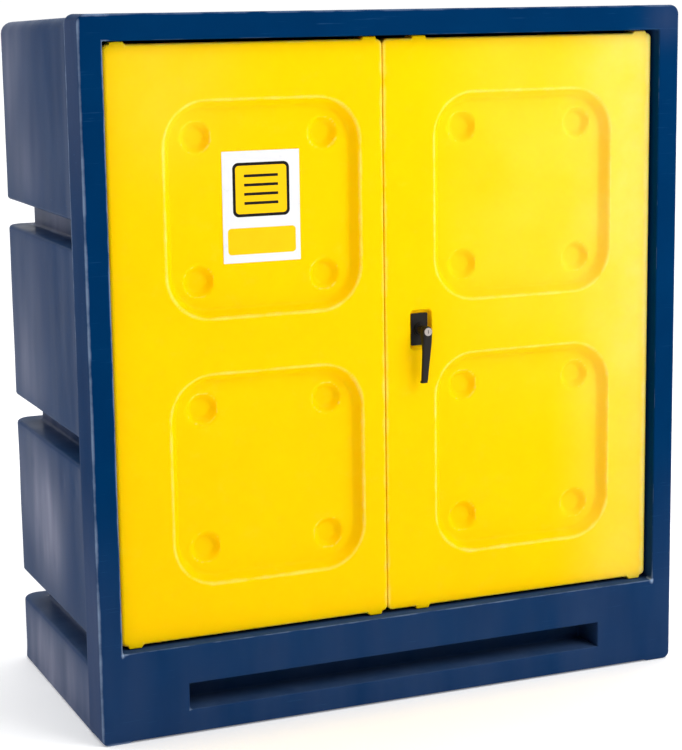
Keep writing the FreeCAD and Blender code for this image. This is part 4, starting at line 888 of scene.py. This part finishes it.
# %% Recipe for the small pieces
def small_finish(name, dark, light, grain, rough, metallic=0.0, stretch=(1, 1, 1), depth=0.00003, level=0.5):
    """Two colours mixed by a grain of this size in mm, which also drives the gloss and a shallow bump."""
    made, tree, shader = material(name)
    place = add(tree, "TexCoord").outputs["Object"]
    turned = add(tree, "Mapping", {"Vector": place, "Scale": stretch})
    noise = add(tree, "TexNoise", {"Vector": turned, "Scale": per_mm(grain), "Detail": 4.0})
    tint = add(tree, "Mix", {0: noise, 6: linear(dark), 7: linear(light)}, data_type="RGBA")
    gloss = add(tree, "MapRange", [noise, 0.3, 0.7, rough - 0.07, rough + 0.07])
    bump = add(tree, "Bump", {"Height": noise, "Strength": 0.4, "Distance": depth})
    fill(shader, {"Base Color": tint, "Roughness": gloss, "Normal": bump, "Metallic": metallic})
    if not metallic:
        fill(shader, {"Specular IOR Level": level})
    return made


# Black powder coat on zinc die castings: fine grain about 0.6 mm, drawn at 1.2 mm so that it shows.
clothe(small_finish("black_powder_coat", "#110e0c", "#1d1916", 1.2, 0.5, level=0.2), lever, neck, "lock_plate")
# Satin nickel on the key cylinder's face.
clothe(small_finish("satin_nickel_plate", "#8f8782", "#c9c0b8", 2.0, 0.4, 1.0), "key_cylinder")
# Bright zinc plate on steel sheet and turned steel, brushed along z.
clothe(small_finish("bright_zinc_plate", "#8d9299", "#bcc2c8", 3.0, 0.34, 1.0, (1, 1, 0.15)),
       "lock_nut", "drive_spindle", "drive_pinion", "bearing_plate", "latch_cover", "latch_cover_screws",
       "bolt_plate_screws", "upper_bolt_plate", "lower_bolt_plate", "upper_latch_rod", "lower_latch_rod",
       "upper_slide_bolt", "lower_slide_bolt")
# Turned stainless steel pins, bolts and washers.
clothe(small_finish("turned_stainless_steel", "#8a8986", "#b5b4b0", 1.5, 0.3, 1.0, (1, 1, 4)),
       "left_top_pivot_bolt", "left_bottom_pivot_pin", "right_top_pivot_bolt", "right_bottom_pivot_pin",
       "left_thrust_washer", "right_thrust_washer")
# Turned brass inserts.
clothe(small_finish("turned_brass", "#a8813f", "#cfa75b", 1.5, 0.32, 1.0, (1, 1, 4)),
       "left_sill_insert", "right_sill_insert")
# Moulded white acetal bushes, guides and keepers.
clothe(small_finish("white_acetal", "#d6d5ce", "#e9e8e2", 6.0, 0.38),
       *[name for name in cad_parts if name.endswith(("_bush", "_guide", "_keeper"))])
# The latch case is zinc, as cast: grey, with a coarse skin.
clothe(small_finish("as_cast_zinc", "#77787a", "#9a9b9d", 2.5, 0.5, 1.0, depth=0.00008), "latch_case")
# Black nylon knobs.
clothe(small_finish("black_nylon", "#131314", "#232325", 1.5, 0.42), "upper_bolt_knob", "lower_bolt_knob")

# %% [markdown]
# Shelves and sump grid are galvanised sheet. Molten zinc freezes into large flat crystals, the spangle, each of a
# slightly different grey and gloss. A Voronoi pattern of cells 14 mm wide gives each crystal its own value.

# %% Galvanised steel
galvanised, tree, shader = material("spangled_galvanised_steel")
place = add(tree, "TexCoord").outputs["Object"]
spangle = add(tree, "TexVoronoi", {"Vector": place, "Scale": per_mm(14)})
shade = add(tree, "SeparateColor", [spangle.outputs["Color"]])
tint = add(tree, "Mix", {0: shade.outputs[0], 6: linear("#868c90"), 7: linear("#aeb4b8")}, data_type="RGBA")
gloss = add(tree, "MapRange", [shade.outputs[1], 0.0, 1.0, 0.36, 0.52])
fill(shader, {"Base Color": tint, "Roughness": gloss, "Metallic": 1.0})
clothe(galvanised, "upper_shelf", "lower_shelf", "sump_grid")

# %% [markdown]
# The label is calendered white vinyl, smooth with a soft gloss, and its inks are screen printed: flat, opaque, and
# very slightly uneven in thickness.

# %% Vinyl and inks
clothe(small_finish("white_vinyl", "#e0e1e5", "#e6e7ea", 30.0, 0.34, depth=0.00001), "label_plate")
clothe(small_finish("yellow_screen_ink", "#f5c100", "#f9c900", 18.0, 0.4, depth=0.00001, level=0.1),
       label_panel, label_blank)
clothe(small_finish("black_screen_ink", "#0c0b09", "#13110e", 18.0, 0.38, depth=0.00001, level=0.15),
       label_outline, *rules)
print("materials:", len(bpy.data.materials))

# %% [markdown]
# The light is a plain studio: a pale floor, a large soft light high on the right in front, a broad bright wall to the
# left and behind, and a dim room on the camera's side. The front faces then reflect almost nothing and keep their
# full colour, while the side mirrors the bright wall at a shallow angle and turns grey blue, helped by a sheen painted
# into the navy colour. The floor glows faintly, like paper lit from above, so it stays white under the cabinet's own
# shade. A white curtain hangs round the room for the camera alone: it closes the picture above the floor in every view
# and lights nothing.

# %% Floor
def stage_piece(name, points, faces):
    """A mesh in metres that isn't part of the cabinet."""
    mesh = bpy.data.meshes.new(name)
    mesh.from_pydata(points, [], faces)
    made = put(name, mesh)
    return made


FLOOR_REACH = 400.0
floor = stage_piece("floor", [(x * FLOOR_REACH, y * FLOOR_REACH, 0) for x, y in ((-1, -1), (1, -1), (1, 1), (-1, 1))],
                    [(0, 1, 2, 3)])
paper, tree, shader = material("white_studio_paper")
place = add(tree, "TexCoord").outputs["Object"]
fibres = add(tree, "TexNoise", {"Vector": place, "Scale": per_mm(300), "Detail": 3.0})
tint = add(tree, "Mix", {0: fibres, 6: linear("#f7f7f7"), 7: linear("#fbfbfb")}, data_type="RGBA")
fill(shader, {
    "Base Color": tint, "Emission Color": tint, "Emission Strength": 0.2, "Roughness": 0.9, "Specular IOR Level": 0.1})
clothe(paper, floor)

# %% Curtain
SIDES, CURTAIN_RADIUS, CURTAIN_TALL = 64, 60.0, 40.0
turn = np.linspace(0, 2 * math.pi, SIDES, endpoint=False)
hem = CURTAIN_RADIUS * joined(np.cos(turn), np.sin(turn), 0)
here = np.arange(SIDES)
after = (here + 1) % SIDES
curtain_points = np.concatenate([hem, hem + [0, 0, CURTAIN_TALL]])
curtain = stage_piece("curtain", curtain_points.tolist(), joined(here, here + SIDES, after + SIDES, after).tolist())
for ray in ("diffuse", "glossy", "transmission", "volume_scatter", "shadow"):
    setattr(curtain, "visible_" + ray, False)
cloth, tree, shader = material("white_studio_curtain")
fill(shader, {"Base Color": linear("#000000"), "Emission Color": linear("#ffffff"), "Emission Strength": 1.0})
clothe(cloth, curtain)
print("curtain:", SIDES, "sides")

# %% Lights
world = bpy.data.worlds.new("studio")
bpy.context.scene.world = world
world.use_nodes = True
tree = world.node_tree
tree.nodes.clear()
direction = add(tree, "SeparateXYZ", [add(tree, "TexCoord").outputs["Generated"]])
from_back = add(tree, "MapRange", [direction.outputs[1], -0.05, 0.65, 0.03, 1.15], interpolation_type="SMOOTHSTEP")
from_above = add(tree, "MapRange", [direction.outputs[2], 0.25, 0.9, 0.0, 1.0], interpolation_type="SMOOTHSTEP")
total = add(tree, "Math", [from_back, from_above], operation="ADD")
backdrop = add(tree, "Background", [(1, 1, 1, 1), total])
add(tree, "OutputWorld", {"Surface": backdrop})

key = put("key", bpy.data.lights.new("key", "AREA"))
key.data.shape = "RECTANGLE"
key.data.size = key.data.size_y = 3.2
key.data.energy = 152
key.location = (2.4, -3.3, 3.3)
key.rotation_euler = (Vector((0, -0.2, 0.7)) - key.location).to_track_quat("-Z", "Y").to_euler()
bpy.context.scene.view_settings.view_transform = "Standard"
